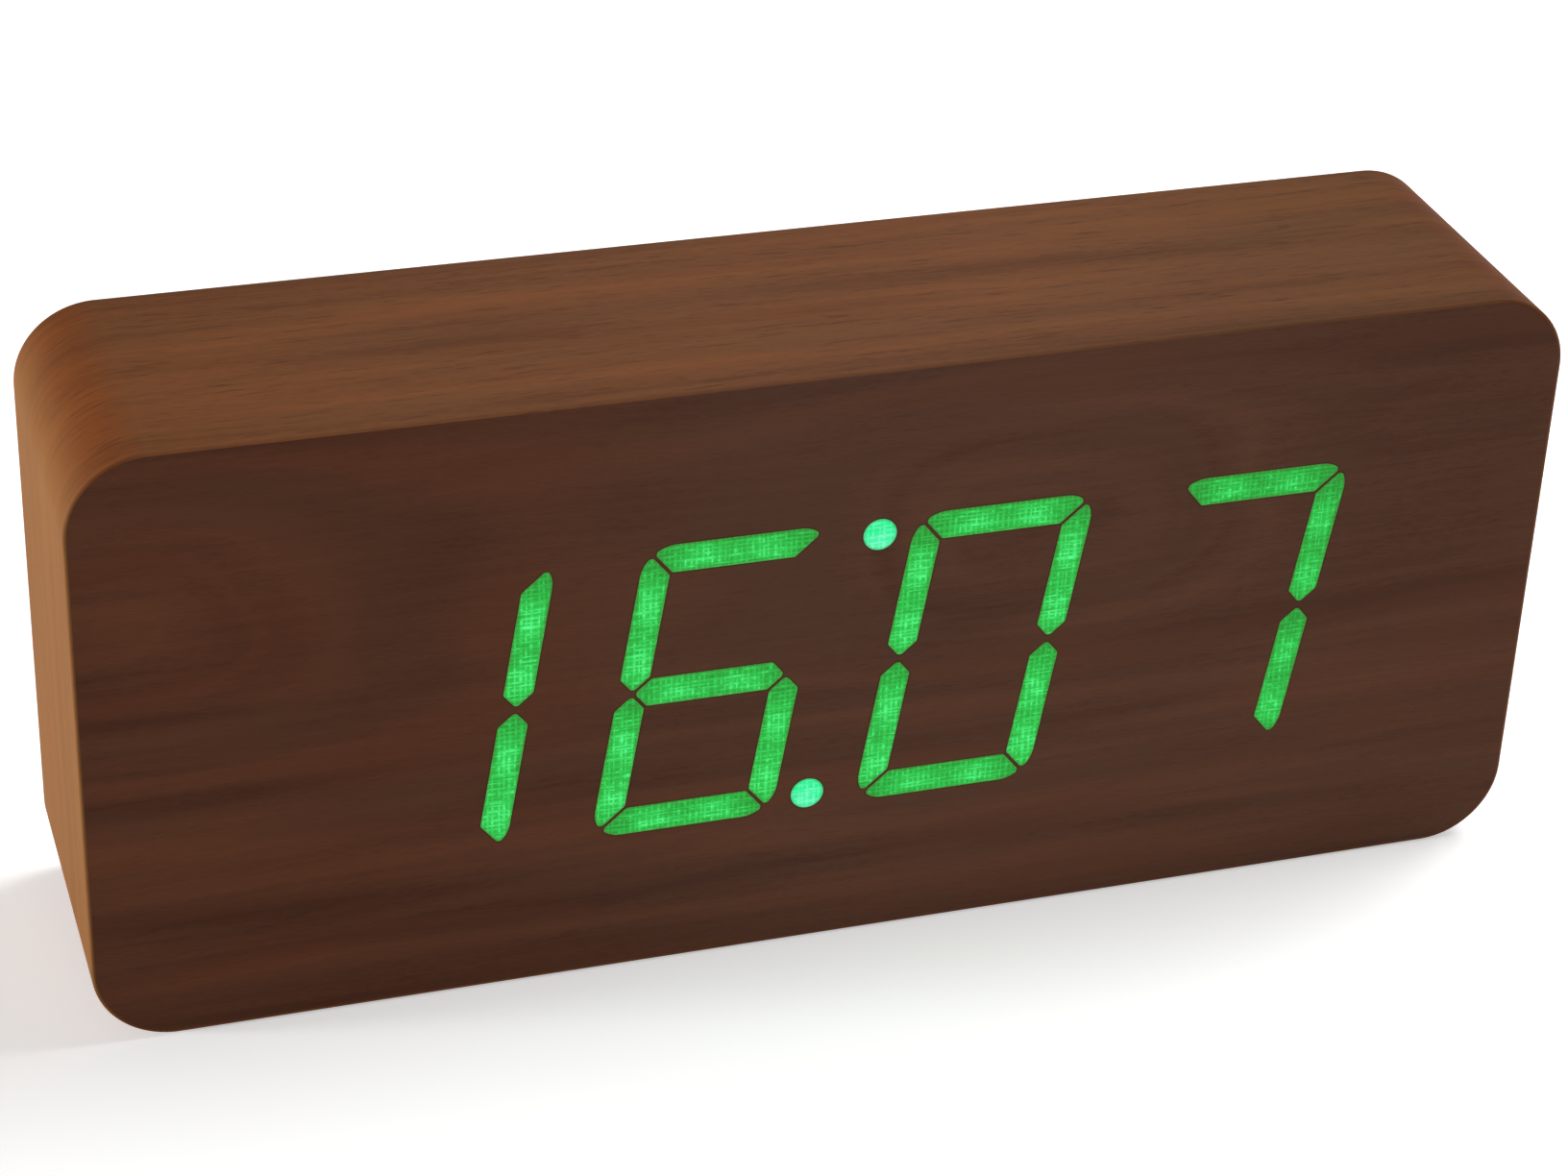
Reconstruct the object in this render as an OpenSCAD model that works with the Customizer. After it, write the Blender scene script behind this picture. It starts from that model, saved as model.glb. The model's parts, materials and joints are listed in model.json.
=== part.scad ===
// Digital clock in a veneered wooden block.
// Green segments shine through the front veneer. The rear panel carries the cells, three buttons and
// the power socket. Millimetres, +Z up, the face looks along -Y, the origin is under the block's middle.

/* [Time shown] */
// Hours
hours = 16; // [0:1:23]
// Minutes
minutes = 7; // [0:1:59]

/* [Block] */
// Width of the block
body_w = 210; // [190:1:260]
// Height of the block
body_h = 90; // [86:1:130]
// Depth of the block from face to back
body_d = 45; // [42:1:80]
// Radius of the four rounded corners
corner_r = 11.5; // [8:0.5:16]
// Thickness of the wood veneer
veneer_t = 0.5; // [0.3:0.05:1]
// Gap in the butt seam of the side veneer
seam_gap = 0.1; // [0.05:0.05:0.3]
// Distance of that seam from the middle of the base
seam_x = 60; // [20:1:80]
// Thickness of the woven backing behind the front veneer
scrim_t = 0.2; // [0.1:0.05:0.5]
// Thickness of the front fibreboard
front_board_t = 5; // [4:0.5:6]
// Thickness of the rear fibreboard
rear_board_t = 8; // [7:0.5:12]
// Wall of the fibreboard frame between the boards
frame_wall = 9; // [6:0.5:11]
// Radius of the frame's inner corners
frame_inner_r = 3; // [1:0.5:6]

/* [Digits] */
// Height of a digit
digit_h = 45.3; // [38:0.1:50]
// Width of a digit
digit_w = 26.2; // [20:0.1:28]
// Distance from one digit to the next, as a share of the block's width
digit_share = 0.1821; // [0.165:0.0001:0.19]
// Distance of the digits' middle below the block's middle
display_drop = 0.3; // [-4:0.1:4]
// Lean of the digits in degrees
slant = 9; // [0:0.5:14]
// Width of an upright segment
upright_w = 4.2; // [3:0.1:5.5]
// Height of a level segment
level_h = 4.3; // [3:0.1:5.5]
// Gap between neighbouring segments
segment_gap = 0.45; // [0.3:0.05:1]
// Radius of a segment's own corners
segment_r = 0.6; // [0.2:0.1:1]
// Radius of a digit's outer corners
digit_r = 4.4; // [2:0.1:6]
// Diameter of a colon dot
dot_d = 4.8; // [3:0.1:6]
// Distance of a colon dot above or below the digits' middle
dot_rise = 20.2; // [8:0.1:21]
// Distance of a colon dot to the side of the middle
dot_shift = 4.4; // [0:0.1:5]

/* [Display module] */
// Margin of the reflector round the digits
reflector_margin = 4; // [3.5:0.25:6]
// Depth of the reflector
reflector_d = 10; // [9:0.5:13]
// Gap round the reflector in the front board
window_clear = 0.3; // [0.1:0.05:0.6]
// Thickness of the cast lenses
lens_t = 3; // [1.5:0.5:6]
// Thickness of the circuit boards
pcb_t = 1.6; // [1:0.1:2]
// Length of an LED chip
led_l = 2; // [1.2:0.1:2.4]
// Width of an LED chip
led_w = 1.2; // [0.8:0.1:1.6]
// Height of an LED chip
led_h = 0.7; // [0.4:0.1:1.2]
// Distance of an LED chip from its segment's middle
led_apart = 4.5; // [2:0.1:5]
// Length of a fixing ear
ear_l = 10; // [8:0.5:12]
// Height of a fixing ear
ear_h = 10; // [8:0.5:14]
// Thickness of a fixing ear
ear_t = 2.5; // [2:0.25:3]
// Distance of the ears above and below the digits' middle
ear_rise = 15; // [8:0.5:18]
// Depth of the display screws in the front board
display_bite = 3.2; // [2:0.1:3.6]
// Diameter of the reflector's pegs
peg_d = 2; // [1.2:0.1:2.4]
// Distance from one peg to the next
peg_pitch = 60; // [30:1:68]
// Diameter of a peg's formed head
peg_head_d = 3.6; // [2.8:0.1:4]
// Height of a peg's formed head
peg_head_h = 0.7; // [0.4:0.1:1.2]
// Gap round a peg
peg_clear = 0.15; // [0.05:0.05:0.3]

/* [Rear panel] */
// Width of the panel
panel_w = 128; // [124:1:150]
// Height of the panel
panel_h = 66; // [65:0.5:70]
// Corner radius of the panel
panel_r = 6; // [4:0.5:8]
// Thickness of the panel's floor
panel_t = 2.4; // [2:0.1:3]
// Depth of the panel's floor below the back
panel_recess = 2; // [1.8:0.1:3]
// Thickness of the panel's rim
rim_t = 1.6; // [1:0.1:2]
// Distance of the rim's edge below the back
rim_drop = 0.3; // [0.1:0.1:0.8]
// Width of the ledge that carries the panel
ledge_w = 6; // [5:0.25:6.5]
// Corner radius of the opening inside the ledge
opening_r = 8; // [5:0.5:8.5]
// Gap round the panel
panel_clear = 0.25; // [0.1:0.05:0.5]
// Distance of the panel screws from the panel's edges
screw_inset = 5; // [4.5:0.25:5.5]
// Depth of the panel screws in the ledge
panel_bite = 5; // [3:0.25:6]
// Diameter of the sound holes
sound_d = 1.6; // [1:0.1:2]
// Distance from one sound hole to the next
sound_pitch = 3; // [2.6:0.1:3.4]

/* [Screws] */
// Diameter of a screw's shank
screw_d = 2.2; // [1.8:0.1:2.4]
// Diameter of a screw's head
screw_head_d = 4.4; // [3.6:0.1:5]
// Height of a screw's head
screw_head_h = 1.3; // [0.8:0.1:1.5]
// Gap round a shank in a through hole
screw_clear = 0.2; // [0.1:0.05:0.4]
// Gap round a shank in its own thread
thread_clear = 0.03; // [0.01:0.01:0.1]
// Gap round a sunk head
head_clear = 0.3; // [0.1:0.05:0.5]
// Room past a screw's point in its hole
point_clear = 0.3; // [0.1:0.05:0.4]

/* [Cells] */
// Diameter of a cell
cell_d = 10.5; // [10:0.1:11]
// Length of a cell with its button end
cell_l = 44.5; // [43:0.1:45]
// Diameter of a cell's button end
nub_d = 3.8; // [2.5:0.1:5]
// Height of a cell's button end
nub_l = 1; // [0.6:0.1:1.5]
// Thickness of a cell's sleeve
sleeve_t = 0.15; // [0.1:0.01:0.3]
// Length of bare can at each end of the sleeve
sleeve_back = 0.6; // [0.2:0.1:2]
// Distance from one cell to the next
cell_pitch = 10.8; // [10.8:0.05:11.2]
// Play above the cells in the bay
cell_play = 0.6; // [0.3:0.1:1]
// Room for a contact spring
spring_l = 4.9; // [4:0.1:6]
// Thickness of the contact plates
contact_t = 0.4; // [0.3:0.05:0.6]
// Width of a single contact plate
contact_w = 8; // [6:0.5:9]
// Width of a soldered contact tab
tab_w = 3; // [2:0.25:4]
// Length of a contact tab on the main board
tab_lap = 2; // [1:0.25:3]
// Distance of a tab from its cell's middle
tab_shift = 2.5; // [2:0.25:2.5]
// Gap round a tab in the bay's wall
tab_clear = 0.2; // [0.1:0.05:0.4]
// Wire of the contact springs
spring_wire = 0.6; // [0.4:0.05:0.7]
// Radius of a contact spring at its plate
spring_base_r = 3.4; // [2.6:0.1:4]
// Radius of a contact spring at its cell
spring_tip_r = 2; // [1.5:0.1:2.4]
// Turns of a contact spring
spring_turns = 3.5; // [2:0.5:4]

/* [Battery bay] */
// Wall of the bay
bay_wall = 1.6; // [1.2:0.1:2]
// Thickness of the bay's floor
bay_floor_t = 1.5; // [1:0.1:2.5]
// Distance of the bay's seat from the ledge
bay_gap = 1; // [0.6:0.1:1.4]
// Thickness of the door's seat
seat_t = 2; // [1.5:0.1:3]
// Corner radius of the door's seat
seat_r = 5; // [3:0.5:5]
// Lap of the door over the bay's walls
door_lap = 2; // [1.6:0.1:2.2]
// Gap round the door
door_clear = 0.3; // [0.2:0.05:0.4]
// Diameter of the door's pivot pins
pin_d = 1.4; // [1:0.05:1.6]
// Length of the pivot pins
pin_l = 1.4; // [1:0.1:2]
// Gap round the pivot pins
pin_clear = 0.05; // [0.02:0.01:0.1]
// Width of the door's latch
latch_w = 10; // [6:0.5:16]
// Thickness of the latch
latch_t = 1.2; // [0.8:0.1:1.4]
// Depth of the latch
latch_l = 1.5; // [1.2:0.1:1.6]
// Radius of the latch's nose
latch_nose = 0.25; // [0.15:0.05:0.3]
// Gap between the latch and the bay's wall
latch_clear = 0.45; // [0.4:0.05:0.6]
// Radius of the finger scoop under the door
scoop_r = 5.5; // [3:0.5:6]
// Depth of the finger scoop
scoop_l = 1.2; // [0.6:0.1:1.6]
// Width of the door's grip ridges
ridge_w = 16; // [8:0.5:30]
// Height of the grip ridges
ridge_h = 0.4; // [0.2:0.05:0.6]
// Distance from one grip ridge to the next
ridge_pitch = 2; // [1.4:0.1:3]

/* [Main board] */
// Width of the main board
board_w = 50; // [49:0.5:52]
// Height of the main board
board_h = 46; // [45:0.5:52]
// Distance of the main board from the ledge
board_gap = 3.5; // [1:0.25:4]
// Length of the board's pillars
pillar_l = 8; // [7.8:0.1:9]
// Diameter of the pillars
pillar_d = 5.5; // [4.5:0.1:6]
// Distance of the pillars from the board's edges
pillar_inset = 3.5; // [3:0.1:4]
// Depth of the board screws in the pillars
pillar_bite = 5; // [3:0.25:6]
// Side of a switch body
switch_w = 6.2; // [5:0.1:7]
// Height of a switch body
switch_h = 3.5; // [3:0.1:4]
// Diameter of a switch plunger
plunger_d = 3.4; // [2.4:0.1:4]
// Height of a plunger above its switch
plunger_rise = 1.5; // [1:0.1:1.8]
// Depth of a plunger in its switch
plunger_in = 0.6; // [0.4:0.1:1]
// Gap round a plunger
plunger_clear = 0.1; // [0.05:0.01:0.15]
// Side of the power socket's body
jack_w = 8; // [7.5:0.1:9]
// Diameter of the power socket's collar
jack_d = 6.4; // [5.8:0.1:7]
// Height of the collar above the panel
jack_proud = 0.4; // [0.2:0.1:1]
// Bore of the power socket
jack_bore = 3.6; // [3:0.1:4.2]
// Depth of that bore
jack_depth = 9.2; // [7:0.1:9.6]
// Diameter of the socket's centre pin
jack_pin_d = 1.3; // [0.9:0.1:1.6]
// Distance of the pin's tip below the collar
jack_pin_drop = 1; // [0.5:0.1:3]
// Gap between the socket and the panel
jack_clear = 0.3; // [0.2:0.05:0.5]
// Diameter of the buzzer
buzzer_d = 12; // [9:0.5:13]
// Height of the buzzer
buzzer_h = 7.4; // [6:0.1:7.6]
// Hole of the buzzer
buzzer_hole_d = 2; // [1:0.1:3]
// Diameter of the microphone
mic_d = 6; // [4:0.1:7]
// Height of the microphone
mic_h = 4.5; // [2:0.1:6]
// Length of the clock chip
chip_l = 18; // [12:0.5:20]
// Width of the clock chip
chip_w = 7.5; // [5:0.5:9]
// Thickness of the chips
chip_t = 2.3; // [1.4:0.1:3]
// Distance from one chip leg to the next
leg_pitch = 1.27; // [1:0.01:2]
// Width of a chip leg
leg_w = 0.45; // [0.3:0.05:0.6]
// Reach of a chip leg beside the chip
leg_l = 1.2; // [0.8:0.1:1.6]
// Diameter of the crystal
crystal_d = 3; // [2:0.1:3.4]
// Length of the crystal
crystal_l = 8; // [6:0.1:9]
// Diameter of the capacitor
capacitor_d = 6.3; // [4:0.1:8]
// Height of the capacitor
capacitor_h = 7.5; // [5:0.1:9]
// Width of the flat cable
ribbon_w = 16; // [8:0.5:20]
// Thickness of the flat cable
ribbon_t = 0.5; // [0.3:0.05:0.8]
// Height of the cable sockets
socket_h = 4; // [3:0.1:4.5]
// Wall of the cable sockets
socket_wall = 1.8; // [1.2:0.1:2.4]
// Depth of the cable in its sockets
socket_in = 2.5; // [1:0.1:3]
// Gap round the cable in its sockets
socket_clear = 0.1; // [0.05:0.05:0.2]
// Climb of the cable between its sockets
ribbon_climb = 8; // [4:0.5:10]

/* [Places on the boards] */
// Distance of the power socket beside the main board's middle
jack_side = 13; // [10:0.25:14]
// Distance of the power socket below the main board's middle
jack_fall = 10; // [8:0.25:11]
// Distance of the buzzer beside the main board's middle
buzzer_side = 12; // [10:0.25:13]
// Distance of the buzzer below the main board's middle
buzzer_fall = 9; // [8:0.25:11]
// Distance of the microphone beside the main board's middle
mic_side = 1; // [0:0.25:3]
// Distance of the microphone below the main board's middle
mic_fall = 14; // [10:0.25:17]
// Distance of the clock chip beside the main board's middle
chip_side = 6; // [2:0.25:8]
// Distance of the clock chip above the main board's middle
chip_rise = 12; // [10:0.25:14]
// Distance of the crystal beside the main board's middle
crystal_side = 20; // [15:0.25:22]
// Distance of the crystal above the main board's middle
crystal_rise = 2; // [-4:0.25:2]
// Distance of the transistors beside the main board's middle
transistor_side = 14; // [10:0.25:15]
// Distance of the transistors below the main board's middle
transistor_fall = 14; // [10:0.25:16]
// Distance from one transistor to the next
transistor_pitch = 6; // [5:0.25:7]
// Distance of the capacitor beside the main board's middle
capacitor_side = 14; // [10:0.25:16]
// Distance of the capacitor below the main board's middle
capacitor_fall = 12; // [11:0.25:15]
// Distance of the driver chip beside the display's middle
driver_side = 16; // [0:0.5:40]
// Distance of the flat cable beside the main board's middle
ribbon_side = 4; // [0:0.25:6]
// Distance of the flat cable below the block's middle
ribbon_fall = 8; // [4:0.25:10]

/* [Buttons] */
// Diameter of a button
button_d = 7.4; // [6:0.1:8]
// Diameter of a button's flange
button_flange_d = 9.6; // [9.4:0.1:11]
// Thickness of a button's flange
button_flange_t = 1.3; // [0.8:0.1:1.4]
// Gap between a button's flange and the panel
button_flange_gap = 0.4; // [0.2:0.05:0.5]
// Diameter of a button's stem
button_stem_d = 4; // [3:0.1:5]
// Height of a button above the panel's floor
button_proud = 1.2; // [0.8:0.1:1.4]
// Travel of a button
button_travel = 0.5; // [0.2:0.05:0.6]
// Gap round a button
button_clear = 0.3; // [0.2:0.05:0.5]
// Distance from one button to the next
button_pitch = 15; // [12:0.5:15.5]
// Distance of the buttons above the panel's middle
button_rise = 9; // [6:0.5:10]
// Size of the raised marks on the buttons
mark_w = 2.6; // [1.6:0.1:3.2]
// Height of those marks
mark_h = 0.2; // [0.1:0.05:0.3]

/* [Hidden] */
$fn = 64;

// Colours
walnut = [0.36, 0.22, 0.15];
lit_green = [0.2, 0.8, 0.33];
fibreboard = [0.66, 0.52, 0.36];
cloth = [0.75, 0.72, 0.66];
black_plastic = [0.08, 0.08, 0.09];
grey_plastic = [0.3, 0.3, 0.32];
clear_resin = [0.8, 0.85, 0.8];
board_green = [0.1, 0.35, 0.2];
steel = [0.7, 0.7, 0.72];
brass = [0.78, 0.62, 0.3];
white_plastic = [0.85, 0.85, 0.82];
sleeve_blue = [0.2, 0.3, 0.45];

// Levels along Y from the face inwards
face_y = -body_d / 2;
veneer_y = face_y + veneer_t;
scrim_y = veneer_y + scrim_t;
front_board_y = scrim_y + front_board_t;
reflector_y = scrim_y + reflector_d;
display_board_y = reflector_y + pcb_t;

// Levels along Y from the back inwards
back_y = body_d / 2;
rear_veneer_y = back_y - veneer_t;
rear_board_y = rear_veneer_y - rear_board_t;
rim_y = back_y - rim_drop;
floor_y = back_y - panel_recess;
under_y = floor_y - panel_t;
main_rear_y = under_y - pillar_l;
main_front_y = main_rear_y - pcb_t;

// Outlines of the block and the panel
core_w = body_w - 2 * veneer_t;
core_h = body_h - 2 * veneer_t;
core_r = corner_r - veneer_t;
mid_z = body_h / 2;
opening_w = panel_w - 2 * ledge_w;
opening_h = panel_h - 2 * ledge_w;
hole_d = screw_d + 2 * screw_clear;
thread_d = screw_d + 2 * thread_clear;

// Display
display_z = mid_z - display_drop;
digit_pitch = digit_share * body_w;
lean = tan(slant);
reflector_w = 3 * digit_pitch + digit_w + digit_h * lean + 2 * reflector_margin;
reflector_h = digit_h + 2 * reflector_margin;
ear_x = reflector_w / 2 + ear_l / 2;
peg_rise = reflector_h / 2 - reflector_margin / 2;

// Battery bay, door and cells
cell_count = 4;
bay_l = cell_l + spring_l + 2 * contact_t;
bay_h = cell_count * cell_pitch;
bay_depth = cell_d + cell_play;
bay_y = under_y - bay_depth;
door_t = panel_t;
door_w = bay_l + 2 * door_lap;
door_h = bay_h + 2 * door_lap;
recess_w = door_w + 2 * door_clear;
recess_h = door_h + 2 * door_clear;
seat_w = recess_w + 2 * bay_wall;
seat_h = recess_h + 2 * bay_wall;
bay_x = opening_w / 2 - bay_gap - seat_w / 2;
bay_x0 = bay_x - bay_l / 2;
bay_x1 = bay_x + bay_l / 2;
pivot_y = floor_y - door_t / 2;
pivot_z = mid_z + door_h / 2 - door_t / 2;
cell_y = bay_y + cell_play / 2 + cell_d / 2;
latch_z = mid_z - bay_h / 2 + latch_clear;
latch_nose_y = under_y - latch_l * 0.6;

// Main board and what it carries
board_x = -opening_w / 2 + board_gap + board_w / 2;
pillar_x = board_w / 2 - pillar_inset;
pillar_z = board_h / 2 - pillar_inset;
jack_at = [board_x - jack_side, mid_z - jack_fall];
buzzer_at = [board_x + buzzer_side, mid_z - buzzer_fall];
mic_at = [board_x - mic_side, mid_z - mic_fall];
chip_at = [board_x - chip_side, mid_z + chip_rise];
crystal_at = [board_x - crystal_side, mid_z + crystal_rise];
transistor_at = [board_x - transistor_side, mid_z - transistor_fall];
capacitor_at = [board_x + capacitor_side, mid_z - capacitor_fall];
driver_at = [driver_side, display_z];
ribbon_x = board_x + ribbon_side;
ribbon_z = mid_z - ribbon_fall;
button_z = mid_z + button_rise;
switch_y = main_rear_y + switch_h;
plunger_y = switch_y + plunger_rise;
flange_y = under_y - button_flange_gap;

// Segments that each figure lights
LIT = ["abcdef", "bc", "abdeg", "abcdg", "bcfg", "acdfg", "acdefg", "abc", "abcdefg", "abcdfg"];
ALL_SEGMENTS = "abcdefg";
figures = [floor(hours / 10), hours % 10, floor(minutes / 10), minutes % 10];

// A convex outline cut along lines, each a point and the direction that is kept
function unit(v) = v / norm(v);
function cut_once(pts, p, n) = [
    for (i = [0 : len(pts) - 1])
        let (a = pts[i], b = pts[(i + 1) % len(pts)], da = (a - p) * n, db = (b - p) * n)
            each concat(da >= 0 ? [a] : [], da * db < 0 ? [a + (b - a) * da / (da - db)] : [])
];
function cut(pts, lines, i = 0) =
    i == len(lines) ? pts : cut(cut_once(pts, lines[i][0], lines[i][1]), lines, i + 1);
function flip(pts, sx, sz) = [for (p = pts) [p[0] * sx, p[1] * sz]];

function middle(pts) = [for (k = [0, 1]) (max([for (p = pts) p[k]]) + min([for (p = pts) p[k]])) / 2];

// A convex outline with its corners rounded: moved inwards by the radius and then outwards again
function towards(pts, i, m) =
    let (a = pts[i % len(pts)], e = pts[(i + 1) % len(pts)] - a, n = unit([-e[1], e[0]]))
        (m - a) * n > 0 ? n : -n;
function drawn_in(pts, r) =
    let (m = middle(pts))
        cut(pts, [for (i = [0 : len(pts) - 1]) let (n = towards(pts, i, m)) [pts[i] + n * r, n]]);
function swollen(pts, r) =
    let (m = middle(pts), n = len(pts))
        [
            for (i = [0 : n - 1])
                let (a = -towards(pts, i + n - 1, m), b = -towards(pts, i, m), sharp = a * b < soft_from)
                    for (s = sharp ? soft_steps : [0.5])
                        pts[i] + r * unit(a * (1 - s) + b * s)
        ];
function softened(pts) = swollen(drawn_in(pts, segment_r), segment_r);

// Upright form of a digit: its rounded outline, and its segments inside that outline
half_w = digit_w / 2;
half_h = digit_h / 2;
inner = [half_w - upright_w, half_h - level_h];
corner_steps = 8;
soft_from = cos(20);
soft_steps = [0, 1 / 3, 2 / 3, 1];
outline = [
    for (q = [0 : 3], s = [0 : corner_steps])
        let (t = 90 * q + 90 * s / corner_steps, sx = q == 0 || q == 3 ? 1 : -1, sz = q < 2 ? 1 : -1)
            [sx * (half_w - digit_r) + digit_r * cos(t), sz * (half_h - digit_r) + digit_r * sin(t)]
];
mitre = unit([-level_h, upright_w]);
rise = unit([level_h, upright_w]);
tip = [half_w - upright_w / 2, 0];
half_gap = segment_gap / 2;
bar_end = [inner + mitre * half_gap, mitre];
mid_end = [tip - rise * half_gap, -rise];
level_top = cut(outline, [[[0, inner[1]], [0, 1]], bar_end, flip(bar_end, -1, 1)]);
upright = cut(outline, [
    [[inner[0], 0], [1, 0]],
    [inner - mitre * half_gap, -mitre],
    [tip + rise * half_gap, rise],
    [tip + mitre * half_gap, mitre]
]);
level_mid = cut(outline, [
    [[0, level_h / 2], [0, -1]],
    [[0, -level_h / 2], [0, 1]],
    mid_end,
    flip(mid_end, 1, -1),
    flip(mid_end, -1, 1),
    flip(mid_end, -1, -1)
]);
soft_top = softened(level_top);
soft_upright = softened(upright);
soft_mid = softened(level_mid);
function form(s) =
    s == "a" ? soft_top :
    s == "b" ? soft_upright :
    s == "c" ? flip(soft_upright, 1, -1) :
    s == "d" ? flip(soft_top, 1, -1) :
    s == "e" ? flip(soft_upright, -1, -1) :
    s == "f" ? flip(soft_upright, -1, 1) : soft_mid;
function leaned(pts) = [for (p = pts) [p[0] + p[1] * lean, p[1]]];
function figure_x(i) = (i - 1.5) * digit_pitch;

// Places of the two LED chips in a segment
function led_places(s) =
    let (m = middle(form(s)), level = s == "a" || s == "d" || s == "g")
        leaned([for (k = [-1, 1]) m + k * (level ? [led_apart, 0] : [0, led_apart])]);

// A flat form in X and Z, thickened from one level in Y to another
module slab(y0, y1) {
    translate([0, y1, 0])
        rotate([90, 0, 0])
            linear_extrude(y1 - y0)
                children();
}

// A round bar along Y
module bar(at, y0, y1, d) {
    translate([at[0], y0, at[1]])
        rotate([-90, 0, 0])
            cylinder(h = y1 - y0, d = d);
}

// A block between two levels in Y, round a place in X and Z
module block(at, y0, y1, w, h) {
    translate([at[0] - w / 2, y0, at[1] - h / 2])
        cube([w, y1 - y0, h]);
}

module rounded(w, h, r) {
    square([w, h - 2 * r], center = true);
    square([w - 2 * r, h], center = true);
    for (sx = [-1, 1], sz = [-1, 1])
        translate([sx * (w / 2 - r), sz * (h / 2 - r)])
            circle(r = r);
}

module at_middle() {
    translate([0, mid_z])
        children();
}

// A screw that points down, with its head above the origin
module screw(length) {
    point = screw_d / 2;
    difference() {
        cylinder(h = screw_head_h, d = screw_head_d);
        for (a = [0, 90])
            rotate(a)
                translate([0, 0, screw_head_h])
                    cube([screw_head_d * 0.6, screw_head_d * 0.15, screw_head_h], center = true);
    }
    translate([0, 0, point - length])
        cylinder(h = length - point, d = screw_d);
    translate([0, 0, -length])
        cylinder(h = point, d1 = screw_d * 0.3, d2 = screw_d);
}

module core_outline() {
    at_middle()
        rounded(core_w, core_h, core_r);
}

module segment(i, s) {
    translate([figure_x(i), display_z])
        polygon(leaned(form(s)));
}

module colon() {
    for (k = [-1, 1])
        translate([k * dot_shift, display_z + k * dot_rise])
            circle(d = dot_d);
}

module lit_forms() {
    for (i = [0 : 3], s = LIT[figures[i]])
        segment(i, s);
    colon();
}

module all_forms() {
    for (i = [0 : 3], s = ALL_SEGMENTS)
        segment(i, s);
    colon();
}

module reflector_outline(grow) {
    translate([0, display_z])
        square([reflector_w + 2 * grow, reflector_h + 2 * grow], center = true);
}

module each_ear() {
    for (sx = [-1, 1], sz = [-1, 1])
        translate([sx * ear_x, 0, display_z + sz * ear_rise])
            children();
}

module each_peg() {
    for (k = [-1, 0, 1], sz = [-1, 1])
        translate([k * peg_pitch, 0, display_z + sz * peg_rise])
            children();
}

module each_panel_screw() {
    for (sx = [-1, 1], sz = [-1, 1])
        translate([sx * (panel_w / 2 - screw_inset), 0, mid_z + sz * (panel_h / 2 - screw_inset)])
            children();
}

module each_pillar() {
    for (sx = [-1, 1], sz = [-1, 1])
        translate([board_x + sx * pillar_x, 0, mid_z + sz * pillar_z])
            children();
}

module panel_opening() {
    at_middle()
        rounded(panel_w + 2 * panel_clear, panel_h + 2 * panel_clear, panel_r + panel_clear);
}

module front_veneer() {
    color(walnut)
        slab(face_y, veneer_y)
            difference() {
                core_outline();
                lit_forms();
            }
}

module lit_segments() {
    color(lit_green)
        slab(face_y, veneer_y)
            lit_forms();
}

module side_veneer() {
    color(walnut)
        difference() {
            slab(face_y, back_y)
                difference() {
                    at_middle()
                        rounded(body_w, body_h, corner_r);
                    core_outline();
                }
            block([seam_x, 0], face_y - 1, back_y + 1, seam_gap, 4 * veneer_t);
        }
}

module rear_veneer() {
    color(walnut)
        slab(rear_veneer_y, back_y)
            difference() {
                core_outline();
                panel_opening();
            }
}

module veneer_scrim() {
    color(cloth)
        slab(veneer_y, scrim_y)
            core_outline();
}

module front_board() {
    color(fibreboard)
        difference() {
            slab(scrim_y, front_board_y)
                difference() {
                    core_outline();
                    reflector_outline(window_clear);
                }
            each_ear()
                bar([0, 0], front_board_y - display_bite - point_clear, front_board_y + 1, thread_d);
        }
}

module core_frame() {
    color(fibreboard)
        slab(front_board_y, rear_board_y)
            difference() {
                core_outline();
                at_middle()
                    rounded(core_w - 2 * frame_wall, core_h - 2 * frame_wall, frame_inner_r);
            }
}

module rear_board() {
    color(fibreboard)
        difference() {
            slab(rear_board_y, rear_veneer_y)
                core_outline();
            slab(under_y, rear_veneer_y + 1)
                panel_opening();
            slab(rear_board_y - 1, under_y + 1)
                at_middle()
                    rounded(opening_w, opening_h, opening_r);
            each_panel_screw()
                bar([0, 0], rear_board_y - 1, under_y + 1, thread_d);
        }
}

module display_reflector() {
    color(black_plastic) {
        difference() {
            union() {
                slab(scrim_y, reflector_y)
                    reflector_outline(0);
                each_ear()
                    block([0, 0], front_board_y, front_board_y + ear_t, ear_l, ear_h);
                each_peg() {
                    bar([0, 0], reflector_y - 1, display_board_y + peg_head_h, peg_d);
                    bar([0, 0], display_board_y, display_board_y + peg_head_h, peg_head_d);
                }
            }
            slab(scrim_y - 1, reflector_y + 1)
                all_forms();
            each_ear()
                bar([0, 0], front_board_y - 1, front_board_y + ear_t + 1, hole_d);
        }
    }
}

module segment_lenses() {
    color(clear_resin)
        slab(scrim_y, scrim_y + lens_t)
            all_forms();
}

module segment_leds() {
    color(white_plastic) {
        for (i = [0 : 3], s = ALL_SEGMENTS, p = led_places(s))
            block([figure_x(i) + p[0], display_z + p[1]], reflector_y - led_h, reflector_y, led_l, led_w);
        for (k = [-1, 1])
            block([k * dot_shift, display_z + k * dot_rise], reflector_y - led_h, reflector_y, led_l, led_w);
    }
}

module display_board() {
    color(board_green)
        difference() {
            slab(reflector_y, display_board_y)
                reflector_outline(0);
            each_peg()
                bar([0, 0], reflector_y - 1, display_board_y + 1, peg_d + 2 * peg_clear);
        }
}

module display_screws() {
    color(steel)
        each_ear()
            translate([0, front_board_y + ear_t, 0])
                rotate([-90, 0, 0])
                    screw(ear_t + display_bite);
}

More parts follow.
